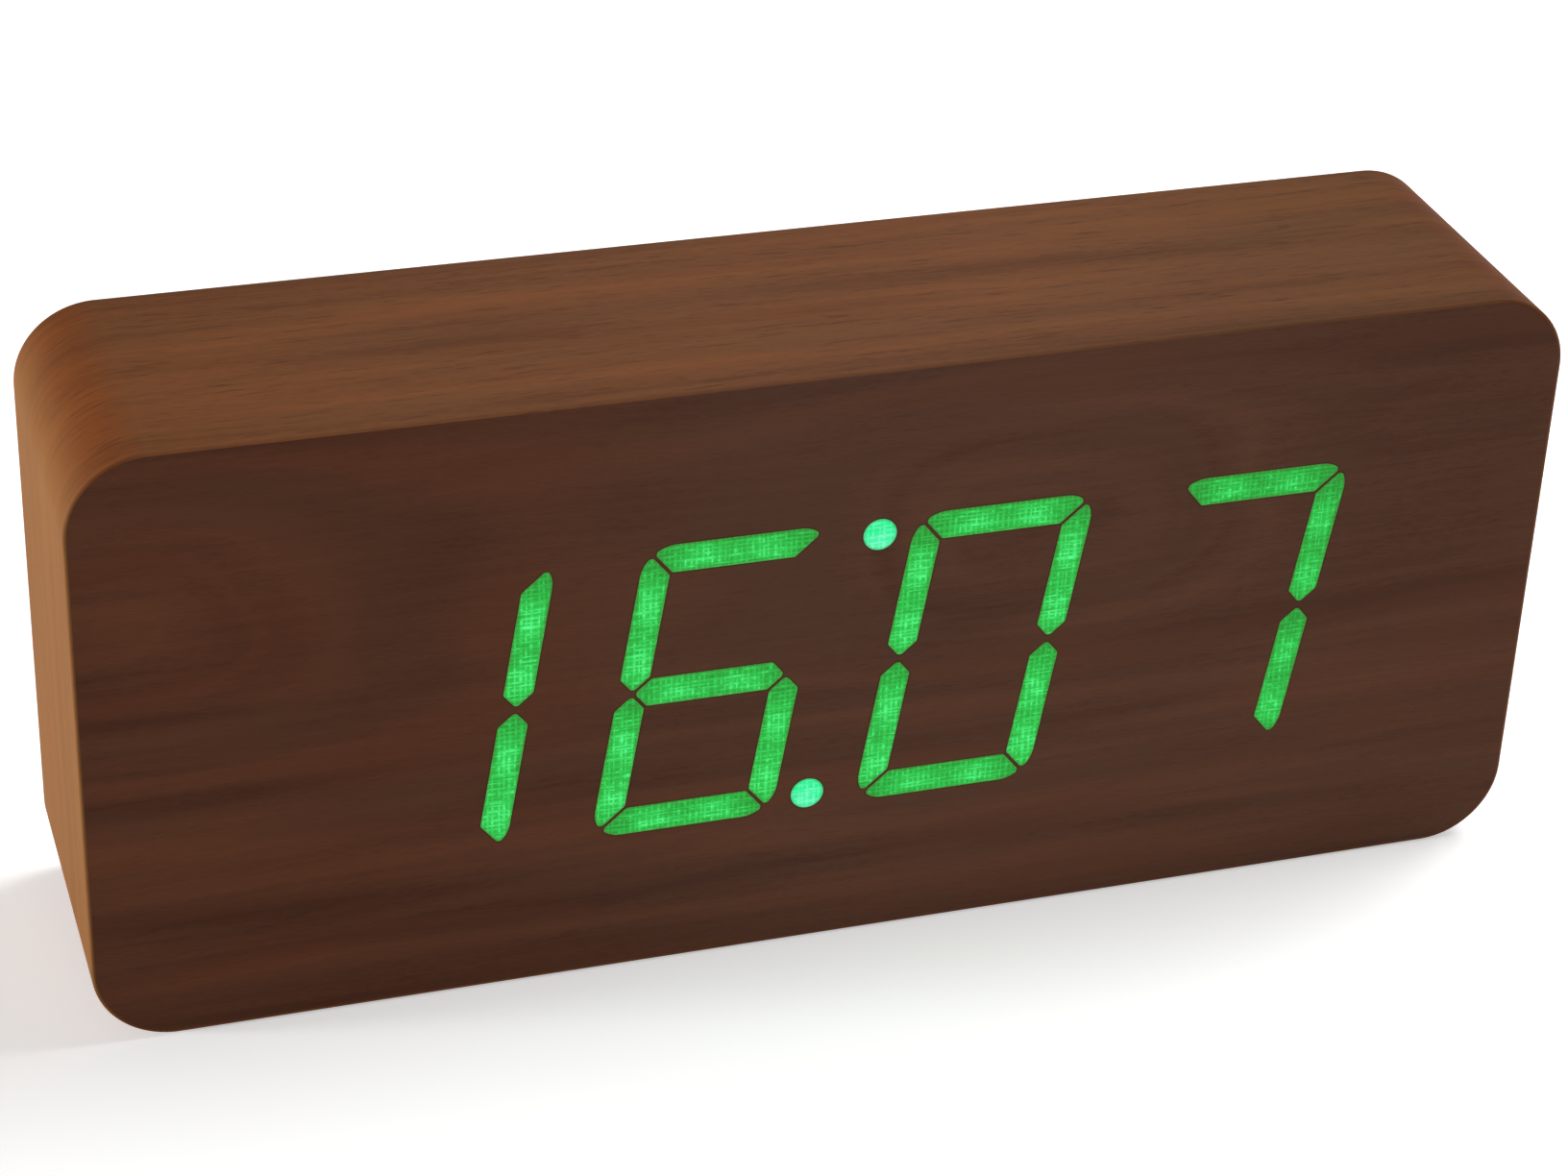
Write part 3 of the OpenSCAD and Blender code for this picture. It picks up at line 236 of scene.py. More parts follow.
# Fibreboard
FIBRE_DARK, FIBRE_LIGHT, FLECK_MM = (0.24, 0.14, 0.07), (0.50, 0.34, 0.19), (0.9, 0.35, 0.9)
FIBRE_CLOUD, FIBRE_CLOUD_MM = (0.36, 0.23, 0.12), (9, 9, 9)
FIBRE_CLOUD_RANGE, FIBRE_CLOUD_SHARE = (0.35, 0.70), 0.4
FIBRE_ROUGH, FIBRE_RELIEF_MM = (0.75, 0.92), 0.06

# Scrim
THREAD_DARK, THREAD_LIGHT, GAP_COLOUR = (0.56, 0.53, 0.46), (0.72, 0.69, 0.62), (0.34, 0.31, 0.26)
THREAD_RELIEF_MM = 0.08

# Circuit boards: tracks in lanes that step aside, broken along Z. TRACK_MM and BREAK_MM are half pitches
MASK_COLOUR, TRACK_COLOUR = (0.012, 0.075, 0.030), (0.030, 0.150, 0.060)
LANE_MM, LANE_SHIFT_MM, LANE_STEP_MM = (6, 6, 6), 14.0, 2.0
TRACK_MM, TRACK_EDGE_MM = 0.8, (0.50, 0.56)
BREAK_MM, BREAK_EDGE_MM = 1.3, (0.90, 0.98)
MASK_GRAIN_MM, MASK_ROUGH, TRACK_RELIEF_MM = (0.4, 0.4, 0.4), (0.28, 0.42), 0.03

# Lens resin
RESIN_DARK, RESIN_LIGHT, RESIN_CLOUD_MM = (0.50, 0.60, 0.52), (0.80, 0.86, 0.80), (1.6, 1.6, 1.6)
RESIN_ROUGH, RESIN_RELIEF_MM = (0.3, 0.5), 0.02

# Flat cable
WIRE_PITCH_MM, GROOVE_EDGE_MM = 1.27, (0.05, 0.3)
GROOVE_COLOUR, WIRE_COLOUR, MARKED_COLOUR = (0.20, 0.20, 0.21), (0.45, 0.45, 0.46), (0.40, 0.06, 0.05)
WIRE_GRAIN_MM, WIRE_ROUGH, WIRE_RELIEF_MM = (0.5, 0.5, 0.5), (0.4, 0.55), 0.2

# Sleeves of the cells: a pale ring's distances from each end, and fine scuffs
SLEEVE_DARK, SLEEVE_LIGHT, RING_COLOUR = (0.025, 0.060, 0.130), (0.040, 0.090, 0.180), (0.55, 0.57, 0.60)
RING_FROM_MM, RING_TO_MM, RING_SOFT_MM = 7.0, 4.8, 0.2
SCUFF_MM, SLEEVE_ROUGH, SCUFF_RELIEF_MM = (6, 0.25, 0.25), (0.28, 0.45), 0.01


class Shader:
    """One material, called s where it is made, with short ways to add and link its nodes."""

    def __init__(self, name, constants):
        self.material = bpy.data.materials.new(name)
        self.material.use_nodes = True
        self.tree = self.material.node_tree
        self.principled = self.tree.nodes["Principled BSDF"]
        for socket, value in constants.items():
            self.feed(self.principled.inputs[socket], value)

    def feed(self, socket, value):
        """Links another node's output to a socket, or sets a value there, with alpha added to a colour."""
        if isinstance(value, bpy.types.NodeSocket):
            self.tree.links.new(value, socket)
        elif socket.type == "RGBA":
            socket.default_value = (*value, 1)
        else:
            socket.default_value = value

    def node(self, kind, inputs, **settings):
        made = self.tree.nodes.new(kind)
        for key, value in settings.items():
            setattr(made, key, value)
        for key, value in inputs.items():
            self.feed(made.inputs[key], value)
        return made

    def place_mm(self):
        """Object coordinates in millimetres."""
        at = self.tree.nodes.new("ShaderNodeTexCoord").outputs["Object"]
        return self.node("ShaderNodeVectorMath", {0: at, 1: (1 / MM,) * 3}, operation="MULTIPLY").outputs[0]

    def attribute(self, name, output="Fac"):
        return self.node("ShaderNodeAttribute", {}, attribute_name=name).outputs[output]

    def parts(self, vector):
        return tuple(self.node("ShaderNodeSeparateXYZ", {0: vector}).outputs)

    def vector(self, x, y, z):
        return self.node("ShaderNodeCombineXYZ", {0: x, 1: y, 2: z}).outputs[0]

    def shifted(self, vector, by):
        return self.node("ShaderNodeVectorMath", {0: vector, 1: by}, operation="ADD").outputs[0]

    def noise(self, at, sizes_mm, detail=2.0, rough=0.5):
        """Noise whose patches have about these sizes, one size for each part of the place."""
        vector = self.node("ShaderNodeVectorMath", {0: at, 1: sizes_mm}, operation="DIVIDE").outputs[0]
        inputs = {"Vector": vector, "Scale": 1.0, "Detail": detail, "Roughness": rough}
        return self.node("ShaderNodeTexNoise", inputs).outputs[0]

    def math(self, operation, a, b=0.0):
        return self.node("ShaderNodeMath", {0: a, 1: b}, operation=operation).outputs[0]

    def spread(self, value, low, high, to_low=0.0, to_high=1.0):
        """A value between low and high, moved to between two others and held there."""
        inputs = {0: value, 1: low, 2: high, 3: to_low, 4: to_high}
        return self.node("ShaderNodeMapRange", inputs).outputs[0]

    def vary(self, noise, to_low=0.0, to_high=1.0):
        """The usual values of a noise, moved to between two others."""
        return self.spread(noise, *USUAL, to_low, to_high)

    def bell(self, value, middle, half):
        """1 at the middle, and smoothly down to 0 at half a width from it."""
        aside = self.math("ABSOLUTE", self.math("SUBTRACT", value, middle))
        inputs = {0: aside, 1: half, 2: 0.0, 3: 0.0, 4: 1.0}
        return self.node("ShaderNodeMapRange", inputs, interpolation_type="SMOOTHSTEP").outputs[0]

    def mix(self, factor, a, b, blend="MIX"):
        made = self.node("ShaderNodeMix", {0: factor, 6: a, 7: b}, data_type="RGBA", blend_type=blend)
        return made.outputs[2]

    def bump(self, height, depth_mm, normal=None):
        inputs = {"Height": height, "Distance": depth_mm * MM, "Strength": 1.0}
        if normal is not None:
            inputs["Normal"] = normal
        return self.node("ShaderNodeBump", inputs).outputs[0]

    def soft_edges(self, radius_mm):
        """A normal that rounds sharp edges, and a mask that is 1 on them."""
        bevel = self.node("ShaderNodeBevel", {"Radius": radius_mm * MM}, samples=EDGE_SAMPLES)
        round_normal = bevel.outputs[0]
        true_normal = self.tree.nodes.new("ShaderNodeNewGeometry").outputs["Normal"]
        agree = self.node("ShaderNodeVectorMath", {0: round_normal, 1: true_normal}, operation="DOT_PRODUCT")
        return round_normal, self.spread(agree.outputs["Value"], *EDGE_AGREES)

    def set(self, **sockets):
        """Feeds the shader's own sockets, with _ for a space in their names."""
        for name, value in sockets.items():
            self.feed(self.principled.inputs[name.replace("_", " ")], value)
        return self.material


# Outlines read from the CAD solids, in millimetres


def flat_loops(node, level):
    """The closed outlines in X and Z of a node's flat face at one level in Y."""
    mesh = frame["nodes"][node].data
    spots = [(round(v.co.x / MM, PLACE_DIGITS), round(v.co.z / MM, PLACE_DIGITS)) for v in mesh.vertices]
    onward = {}
    for face in mesh.polygons:
        if all(abs(mesh.vertices[i].co.y - level) < LEVEL_SLACK for i in face.vertices):
            ring = [spots[i] for i in face.vertices]
            for a, b in zip(ring, ring[1:] + ring[:1]):
                onward.setdefault(a, set()).add(b)
    rims = {a: [b for b in ends if a not in onward.get(b, ())] for a, ends in onward.items()}
    rims = {a: ends[0] for a, ends in rims.items() if ends}
    loops = []
    while rims:
        start, at = next(iter(rims.items()))
        loop = [start]
        rims.pop(start)
        while at != start:
            loop.append(at)
            at = rims.pop(at)
        loops.append(counterclockwise(np.array(loop)))
    return loops


def counterclockwise(loop):
    nxt = np.roll(loop, -1, axis=0)
    area = (loop[:, 0] * nxt[:, 1] - loop[:, 1] * nxt[:, 0]).sum()
    return loop if area > 0 else loop[::-1]


def edges_of(loop):
    """Starts, ends and inward normals of a convex counterclockwise outline."""
    nxt = np.roll(loop, -1, axis=0)
    along = nxt - loop
    inward = np.stack([-along[:, 1], along[:, 0]], 1)
    return loop, nxt, inward / np.linalg.norm(inward, axis=1)[:, None]


def depth_inside(loop, points):
    """How far points lie inside a convex outline, below 0 outside it."""
    starts, _, inward = edges_of(loop)
    return np.einsum("pek,ek->pe", points[:, None, :] - starts[None], inward).min(axis=1)


def clipped(points, start, normal):
    """The part of an outline on the side of a line to which its normal points."""
    kept = []
    for a, b in zip(points, points[1:] + points[:1]):
        da, db = (a - start) @ normal, (b - start) @ normal
        if da >= 0:
            kept.append(a)
        if da * db < 0:
            kept.append(a + (b - a) * da / (da - db))
    return kept


def inset(loop, distance):
    """A convex outline moved inwards."""
    points = list(loop)
    for start, _, inward in zip(*edges_of(loop)):
        points = clipped(points, start + inward * distance, inward)
    return np.array(points)


def outset(loop, distance):
    """A convex outline moved outwards, with its corners cut off."""
    _, _, inward = edges_of(loop)
    before = loop - np.roll(inward, 1, axis=0) * distance
    after = loop - inward * distance
    return np.stack([before, after], 1).reshape(-1, 2)


def island_middles(node):
    """The middles in X and Z of a node's separate solids, in millimetres."""
    mesh = frame["nodes"][node].data
    spots = np.array([[v.co.x, v.co.y, v.co.z] for v in mesh.vertices]) / MM
    keys = [tuple(p) for p in spots.round(PLACE_DIGITS)]
    parent = {k: k for k in keys}

    def root(k):
        while parent[k] != k:
            k = parent[k]
        return k

    for face in mesh.polygons:
        first = root(keys[face.vertices[0]])
        for i in face.vertices[1:]:
            parent[root(keys[i])] = first
    groups = {}
    for k in parent:
        groups.setdefault(root(k), []).append(k)
    return np.array([(np.min(g, axis=0) + np.max(g, axis=0))[[0, 2]] / 2 for g in groups.values()])


# Meshes


def triangulated(points, loops):
    """Triangles on points, in which the loops' edges stay. Each loop is a list of point numbers."""
    edges = [(a, b) for loop in loops for a, b in zip(loop, loop[1:] + loop[:1])]
    found = delaunay_2d_cdt([Vector(p) for p in points], edges, [], 0, MERGE_MM)
    return np.array([v[:] for v in found[0]]), [list(f) for f in found[2]]


def plate(points, faces, front, back):
    """Vertices and faces of a closed plate between two levels in Y."""
    n = len(points)
    verts = [(p[0], front, p[1]) for p in points] + [(p[0], back, p[1]) for p in points]
    facing = []
    for f in faces:
        a, b, c = (points[i] for i in f)
        turn = (b[0] - a[0]) * (c[1] - a[1]) - (b[1] - a[1]) * (c[0] - a[0])
        facing.append(f if turn > 0 else f[::-1])
    directed = {(a, b) for f in facing for a, b in zip(f, f[1:] + f[:1])}
    rims = [(a, b) for a, b in directed if (b, a) not in directed]
    walls = [[b, a, a + n, b + n] for a, b in sorted(rims)]
    return verts, facing + [[i + n for i in reversed(f)] for f in facing] + walls


def mesh_piece(name, verts_mm, faces, attributes, material):
    """A mesh object with point attributes and faces that are smooth up to an angle."""
    mesh = bpy.data.meshes.new(name)
    mesh.from_pydata([tuple(c * MM for c in v) for v in verts_mm], [], faces)
    for key, values in attributes.items():
        values = np.asarray(values, np.float32)
        kind, field = ("FLOAT_VECTOR", "vector") if values.ndim == 2 else ("FLOAT", "value")
        mesh.attributes.new(key, kind, "POINT").data.foreach_set(field, values.ravel())
    mesh.shade_smooth()
    mesh.set_sharp_from_angle(angle=math.radians(SMOOTH_DEG))
    mesh.materials.append(material)
    piece = bpy.data.objects.new(name, mesh)
    bpy.context.scene.collection.objects.link(piece)
    return piece


def face_level(node):
    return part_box(node)[0].y


def veneer_front(material):
    """The front veneer, with a thin rim round each lit segment."""
    front = face_level("front_veneer")
    loops = flat_loops("front_veneer", front)
    outer = max(loops, key=lambda p: np.ptp(p[:, 0]))
    holes = [p for p in loops if p is not outer]
    rings = [outer, *holes, *(outset(hole, RIM_MM) for hole in holes)]
    starts = np.cumsum([0] + [len(ring) for ring in rings])
    numbers = [list(range(a, b)) for a, b in zip(starts, starts[1:])]
    spots, faces = triangulated(np.concatenate(rings), numbers)
    middles = np.array([spots[f].mean(axis=0) for f in faces])
    keep = depth_inside(outer, middles) > 0
    for hole in holes:
        keep &= depth_inside(hole, middles) < 0
    faces = [f for f, k in zip(faces, keep) if k]
    on_rim = np.max([depth_inside(hole, spots) for hole in holes], axis=0) > -RIM_MM / 2
    verts, faces = plate(spots, faces, front / MM, front / MM + VENEER_T_MM)
    grain = [(v[0], v[2], 0) for v in verts]
    attributes = {"grain_at": grain, "rim": np.tile(on_rim, 2)}
    return mesh_piece("veneer_front", verts, faces, attributes, material)


def lit_plate(loop, chips):
    """Points and triangles of one lit area, each point's light from the chips and distance from the rim, and
    whether the area is a dot, which has one chip."""
    points = [loop] + [inset(loop, d) for d in INSETS_MM]
    low, high = loop.min(axis=0), loop.max(axis=0)
    grid = np.stack(np.meshgrid(*(np.arange(a, b, GRID_MM) for a, b in zip(low, high))), -1).reshape(-1, 2)
    points.append(grid[depth_inside(loop, grid) > INSETS_MM[-1] + GRID_MM / 2])
    spots, faces = triangulated(np.concatenate(points), [list(range(len(loop)))])
    faces = [f for f in faces if depth_inside(loop, spots[f].mean(axis=0)[None])[0] > SLIVER_MM]
    near = chips[depth_inside(loop, chips) > 0]
    away = np.linalg.norm(spots[:, None] - near[None] + (0, SPOT_DROP_MM), axis=2)
    glow = np.exp(-((away / SPOT_MM) ** 2)).sum(axis=1)
    return spots, faces, glow, depth_inside(loop, spots).clip(0), len(near) == 1


def digits_lit(material):
    """The lit parts of the front veneer."""
    front = face_level("lit_segments")
    chips = island_middles("segment_leds")
    verts, faces, glow, depth, dot = [], [], [], [], []
    for loop in flat_loops("lit_segments", front):
        spots, tris, its_glow, its_depth, is_dot = lit_plate(loop, chips)
        its_verts, its_faces = plate(spots, tris, front / MM, front / MM + VENEER_T_MM)
        faces += [[i + len(verts) for i in f] for f in its_faces]
        verts += its_verts
        glow.append(np.tile(its_glow, 2))
        depth.append(np.tile(its_depth, 2))
        dot.append(np.full(len(its_verts), float(is_dot)))
    lists = {"glow": glow, "rim_depth": depth, "dot": dot}
    attributes = {key: np.concatenate(values) for key, values in lists.items()}
    attributes["grain_at"] = [(v[0], v[2], 0) for v in verts]
    return mesh_piece("digits_lit", verts, faces, attributes, material)


def corner_radius(half_w):
    """The corner radius of the block, from where its flat base ends."""
    vertices = frame["nodes"]["side_veneer"].data.vertices
    base = [v.co.x for v in vertices if abs(v.co.z) < LEVEL_SLACK]
    return half_w - max(base) / MM


def outline_path(half_w, height):
    """Places and outward normals round the block, from the seam in its base and back to it."""
    r, gap = corner_radius(half_w), SEAM_GAP_MM / 2
    middles = [(half_w - r, r), (half_w - r, height - r), (r - half_w, height - r), (r - half_w, r)]
    places = [((SEAM_X_MM + gap, 0.0), (0.0, -1.0))]
    for k, (cx, cz) in enumerate(middles):
        turns = [math.radians(90 * (k - 1) + 90 * i / CORNER_STEPS) for i in range(CORNER_STEPS + 1)]
        arc = [((cx + r * math.cos(t), cz + r * math.sin(t)), (math.cos(t), math.sin(t))) for t in turns]
        for end, step in ((arc[0], -SUPPORT_MM), (arc[-1], SUPPORT_MM)):
            (x, z), (nx, nz) = end
            arc.insert(0 if step < 0 else len(arc), ((x - nz * step, z + nx * step), (nx, nz)))
        places += arc
    places.append(((SEAM_X_MM - gap, 0.0), (0.0, -1.0)))
    return places


def wrap_profile(front, back):
    """The cut through the wrapped veneer: depth below its outside, level in Y, and 1 on a soft arris."""
    a, turns = ARRIS_MM, [math.pi / 2 * i / ARRIS_STEPS for i in range(ARRIS_STEPS + 1)]
    arris = [(a - a * math.sin(t), front + a - a * math.cos(t), 1) for t in turns]
    start = [(VENEER_T_MM, front, 0), *arris, (0, front + a + SUPPORT_MM, 0)]
    return start + [(depth, front + back - level, edge) for depth, level, edge in reversed(start)]


def veneer_wrap(material):
    """The veneer wrapped round the block's sides, with grain that runs round the corners."""
    low, high = (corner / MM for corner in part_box("side_veneer"))
    path = outline_path(high.x, high.z)
    profile = wrap_profile(low.y, high.y)
    verts, grain, arris, bend_shade, run = [], [], [], [], 0.0
    for k, ((x, z), (nx, nz)) in enumerate(path):
        if k:
            run += math.hypot(x - path[k - 1][0][0], z - path[k - 1][0][1])
        verts += [(x - nx * d, y, z - nz * d) for d, y, _ in profile]
        grain += [(run, y + (d if y > 0 else -d), 0) for d, y, _ in profile]
        arris += [edge for _, _, edge in profile]
        # How much painted shade each place in the bends gets, most near their upper and lower thirds
        bend_shade += [abs(BEND_SHADE_PEAK * nx * nz ** 3)] * len(profile)
    n = len(profile)
    faces = [[k * n + i, k * n + (i + 1) % n, (k + 1) * n + (i + 1) % n, (k + 1) * n + i]
             for k in range(len(path) - 1) for i in range(n)]
    faces += [list(range(n - 1, -1, -1)), list(range(len(verts) - n, len(verts)))]
    attributes = {"grain_at": grain, "arris": arris, "bend_shade": bend_shade}
    return mesh_piece("veneer_wrap", verts, faces, attributes, material)


# Veneer materials


def shade(colour, share):
    """A colour times a share of each of its parts."""
    return tuple(c * k for c, k in zip(colour, share))


def figure_noises(s, laid, ringed):
    """The noises of the figure. The broad ones follow the growth rings, and the fine ones the grain."""
    return {
        "bands": s.noise(ringed, BANDS_MM),
        "hue": s.noise(s.shifted(ringed, HUE_SHIFT_MM), HUE_MM),
        "streaks": s.noise(laid, STREAKS_MM, rough=0.6),
        "lines": s.noise(laid, LINES_MM, rough=0.6),
        "dashes": s.noise(laid, DASHES_MM, detail=1),
        "hairs": s.noise(laid, HAIRS_MM, detail=1),
    }


def figure_tone(s, along, across, noises, tones, placed_streaks):
    """The tone of the figure, from 0 where it is dark to 1 where it is light."""
    tone = s.spread(noises["lines"], *LINE_RANGE, BASE_TONE, BASE_TONE - tones["lines"])
    for part in ("bands", "streaks", "dashes", "hairs"):
        tone = s.math("ADD", s.spread(noises[part], *NARROW, -tones[part], tones[part]), tone)
    for middle, level, half_length, half_width, share in placed_streaks:
        reach = s.math("MULTIPLY", s.bell(along, middle, half_length), s.bell(across, level, half_width))
        tone = s.math("ADD", s.math("MULTIPLY", reach, share), tone)
    return tone


def walnut_figure(s, at, base, tones, placed_streaks=(), rings=None):
    """Colour, relief and roughness of the veneer, from places along and across its grain in millimetres."""
    along, across, seed = s.parts(at)
    sway = s.spread(s.noise(at, SWAY_MM, detail=1), *BROAD, -GRAIN_SWAY_MM, GRAIN_SWAY_MM)
    across = s.math("ADD", across, sway)
    laid = s.vector(along, across, seed)
    noises = figure_noises(s, laid, laid if rings is None else s.vector(along, rings, seed))
    tone = figure_tone(s, along, across, noises, tones, placed_streaks)
    hue, hairs = noises["hue"], noises["hairs"]
    pore = s.math("MULTIPLY", s.spread(noises["dashes"], *PORE_DASHES), s.spread(hairs, *PORE_HAIRS))
    colour = s.mix(s.spread(tone, 0.0, BASE_TONE), shade(base, DARK_SHARE), base)
    colour = s.mix(s.spread(tone, BASE_TONE, 1.0), colour, shade(base, LIGHT_SHARE))
    colour = s.mix(s.spread(hue, *RED_RANGE, 0.0, tones["hue"]), colour, shade(base, RED_SHARE))
    colour = s.mix(s.spread(hue, *GREY_RANGE, 0.0, tones["hue"]), colour, shade(base, GREY_SHARE))
    colour = s.mix(s.math("MULTIPLY", pore, PORE_DEPTH), colour, shade(base, PORE_SHARE))
    relief = s.math("SUBTRACT", s.math("MULTIPLY", hairs, HAIR_RELIEF), pore)
    return colour, relief, s.spread(hairs, *ROUGH_HAIRS, *VENEER_ROUGH)


def growth_rings(s, at):
    """Distances from the heart of a log cut lengthwise, whose heart comes near the sheet at its eyes."""
    along, across, _ = s.parts(at)
    near = 0.0
    for eye, half_length in EYES_X_MM:
        aside = s.math("DIVIDE", s.math("SUBTRACT", along, eye), half_length)
        bump = s.math("EXPONENT", s.math("MULTIPLY", s.math("MULTIPLY", aside, aside), -1.0))
        near = s.math("MAXIMUM", bump, near)
    wander = s.vary(s.noise(at, EYE_NOISE_MM, detail=1), -EYE_WANDER_MM, EYE_WANDER_MM)
    depth = s.math("ADD", s.spread(near, 0.0, 1.0, EYE_DEPTH_MM, 0.0), wander)
    aside = s.math("SUBTRACT", across, EYE_Z_MM)
    squared = s.math("MULTIPLY", aside, aside)
    depth = s.math("DIVIDE", depth, s.math("ADD", s.math("DIVIDE", squared, EYE_REACH_MM ** 2), 1.0))
    return s.math("SQRT", s.math("ADD", squared, s.math("MULTIPLY", depth, depth)))


def tint_with_painted_light(s, colour, tints_and_light_mm):
    """A sheet's colour times a tint that changes slowly along X, partly the wood's own tone and partly
    painted light and shade.
    """
    x, _, _ = s.parts(s.place_mm())
    blend = tints_and_light_mm[0][1]
    for (start, _), (end, tint) in zip(tints_and_light_mm, tints_and_light_mm[1:]):
        blend = s.mix(s.spread(x, start, end), blend, tint)
    return s.mix(1.0, colour, blend, "MULTIPLY")


def walnut_front():
    """The front sheet, with eyes in its figure and a dark rim round the lit areas."""
    s = Shader("walnut_front", VENEER_SOCKETS)
    at = s.attribute("grain_at", "Vector")
    rings = growth_rings(s, at)
    # The front sheet's darker base colour is partly painted shade
    colour, relief, rough = walnut_figure(s, at, FRONT_WALNUT, FRONT_TONES, FRONT_STREAKS_MM, rings)
    # The tint along X is partly painted light and shade
    colour = tint_with_painted_light(s, colour, FRONT_TINTS_AND_LIGHT_MM)
    colour = s.mix(s.attribute("rim"), colour, shade(FRONT_WALNUT, RIM_SHARE))
    return s.set(Base_Color=colour, Roughness=rough, Normal=s.bump(relief, FRONT_RELIEF_MM))


def walnut_wrap():
    """The wrapped sheet, which is calmer on the block's ends, with painted shade in its bends and a painted
    highlight on its arrises.
    """
    s = Shader("walnut_wrap", VENEER_SOCKETS)
    at = s.attribute("grain_at", "Vector")
    colour, relief, rough = walnut_figure(s, at, WRAP_WALNUT, WRAP_TONES, WRAP_STREAKS_MM)
    x, _, _ = s.parts(s.place_mm())
    calm = s.spread(s.math("ABSOLUTE", x), *CALM_X_MM, 0.0, CALM_SHARE)
    # The tint along X is partly painted light and shade
    colour = tint_with_painted_light(s, s.mix(calm, colour, WRAP_WALNUT), WRAP_TINTS_AND_LIGHT_MM)
    # Painted shade in the bends
    colour = s.mix(s.attribute("bend_shade"), colour, BEND_SHADE_SHARE, "MULTIPLY")
    # A painted highlight on the soft arrises
    arris = s.math("MULTIPLY", s.attribute("arris"), ARRIS_HIGHLIGHT)
    colour = s.mix(arris, colour, shade(WRAP_WALNUT, LIGHT_SHARE))
    return s.set(Base_Color=colour, Roughness=rough, Normal=s.bump(relief, WRAP_RELIEF_MM))


def walnut_back():
    """The rear sheet."""
    s = Shader("walnut_back", VENEER_SOCKETS)
    x, _, z = s.parts(s.place_mm())
    at = s.vector(s.math("ADD", x, BACK_SHIFT_MM), z, BACK_SEED)
    colour, relief, rough = walnut_figure(s, at, FRONT_WALNUT, FRONT_TONES)
    return s.set(Base_Color=colour, Roughness=rough, Normal=s.bump(relief, FRONT_RELIEF_MM))


def lines_of_light(s, across, along, pitch_mm, slub_mm, jitter_mm, seed):
    """Gaps between threads, about a pitch apart, each brighter and darker along its length, 0 to 1."""
    half = pitch_mm / 2
    uneven = s.noise(s.vector(across, 0.0, seed), (UNEVEN_PITCHES * pitch_mm, 1, 1), detail=1)
    across = s.math("ADD", across, s.spread(uneven, *BROAD, -jitter_mm, jitter_mm))
    which = s.math("MULTIPLY", s.math("FLOOR", s.math("DIVIDE", across, pitch_mm)), GAP_STEP)
    bright = s.noise(s.vector(which, along, seed), (1, slub_mm, 1), detail=3, rough=0.75)
    middle = s.spread(s.math("PINGPONG", across, half), THREAD_SHARE * half, half)
    return s.math("MULTIPLY", middle, s.spread(bright, *GAP_RANGE, *GAP_BRIGHTNESS))


def weave(s, at):
    """The light through a plain weave, and its slow clouds, about 0 to 1 each."""
    x, z, _ = s.parts(at)
    wander = s.vary(s.noise(at, WEAVE_NOISE_MM, detail=1), -WEAVE_SWAY_MM, WEAVE_SWAY_MM)
    x, z = s.math("ADD", x, wander), s.math("ADD", z, wander)
    upright = lines_of_light(s, x, z, *UPRIGHT_GAPS)
    level = lines_of_light(s, z, x, *LEVEL_GAPS)
    return s.math("MAXIMUM", upright, level), s.noise(at, WEAVE_CLOUD_MM)


def light_level(s, at, gaps, clouds):
    """How much light comes through, about 0 to 1."""
    level = s.math("ADD", s.math("MULTIPLY", gaps, GAP_LIGHT), s.vary(clouds, *CLOUD_LIGHT))
    level = s.math("ADD", level, s.spread(s.attribute("glow"), *SPOT_RANGE, *SPOT_LIGHT))
    x, _, _ = s.parts(at)
    level = s.math("SUBTRACT", level, s.spread(x, *DIM_X_MM, 0.0, DIM_SHADE))
    grain = s.spread(s.noise(at, LIT_GRAIN_MM), *LIT_GRAIN_RANGE, 0.0, LIT_GRAIN_SHADE)
    return s.math("SUBTRACT", level, grain)


def lit_veneer():
    """Veneer with light behind it, which shines through the woven backing and the wood."""
    s = Shader("lit_veneer", {**VENEER_SOCKETS, "Emission Strength": 1.0})
    at = s.attribute("grain_at", "Vector")
    gaps, clouds = weave(s, at)
    level = light_level(s, at, gaps, clouds)
    colour = s.mix(s.spread(level, 0.0, MID_LIGHT), GLOW_LOW, GLOW_MID)
    colour = s.mix(s.spread(level, MID_LIGHT, 1.0), colour, GLOW_HIGH)
    colour = s.mix(s.attribute("dot"), colour, s.mix(s.spread(level, *DOT_RANGE), DOT_LOW, DOT_HIGH))
    edge = s.spread(s.attribute("rim_depth"), 0.0, EDGE_MM, EDGE_SHARE, 0.0)
    colour = s.mix(edge, colour, GLOW_EDGE)
    return s.set(Base_Color=UNLIT, Emission_Color=colour, Normal=s.bump(gaps, LIT_RELIEF_MM))


# Other materials


def brightened(colour, times, plus):
    """A colour times one number plus another, at most white."""
    return tuple(min(1, c * times + plus) for c in colour)


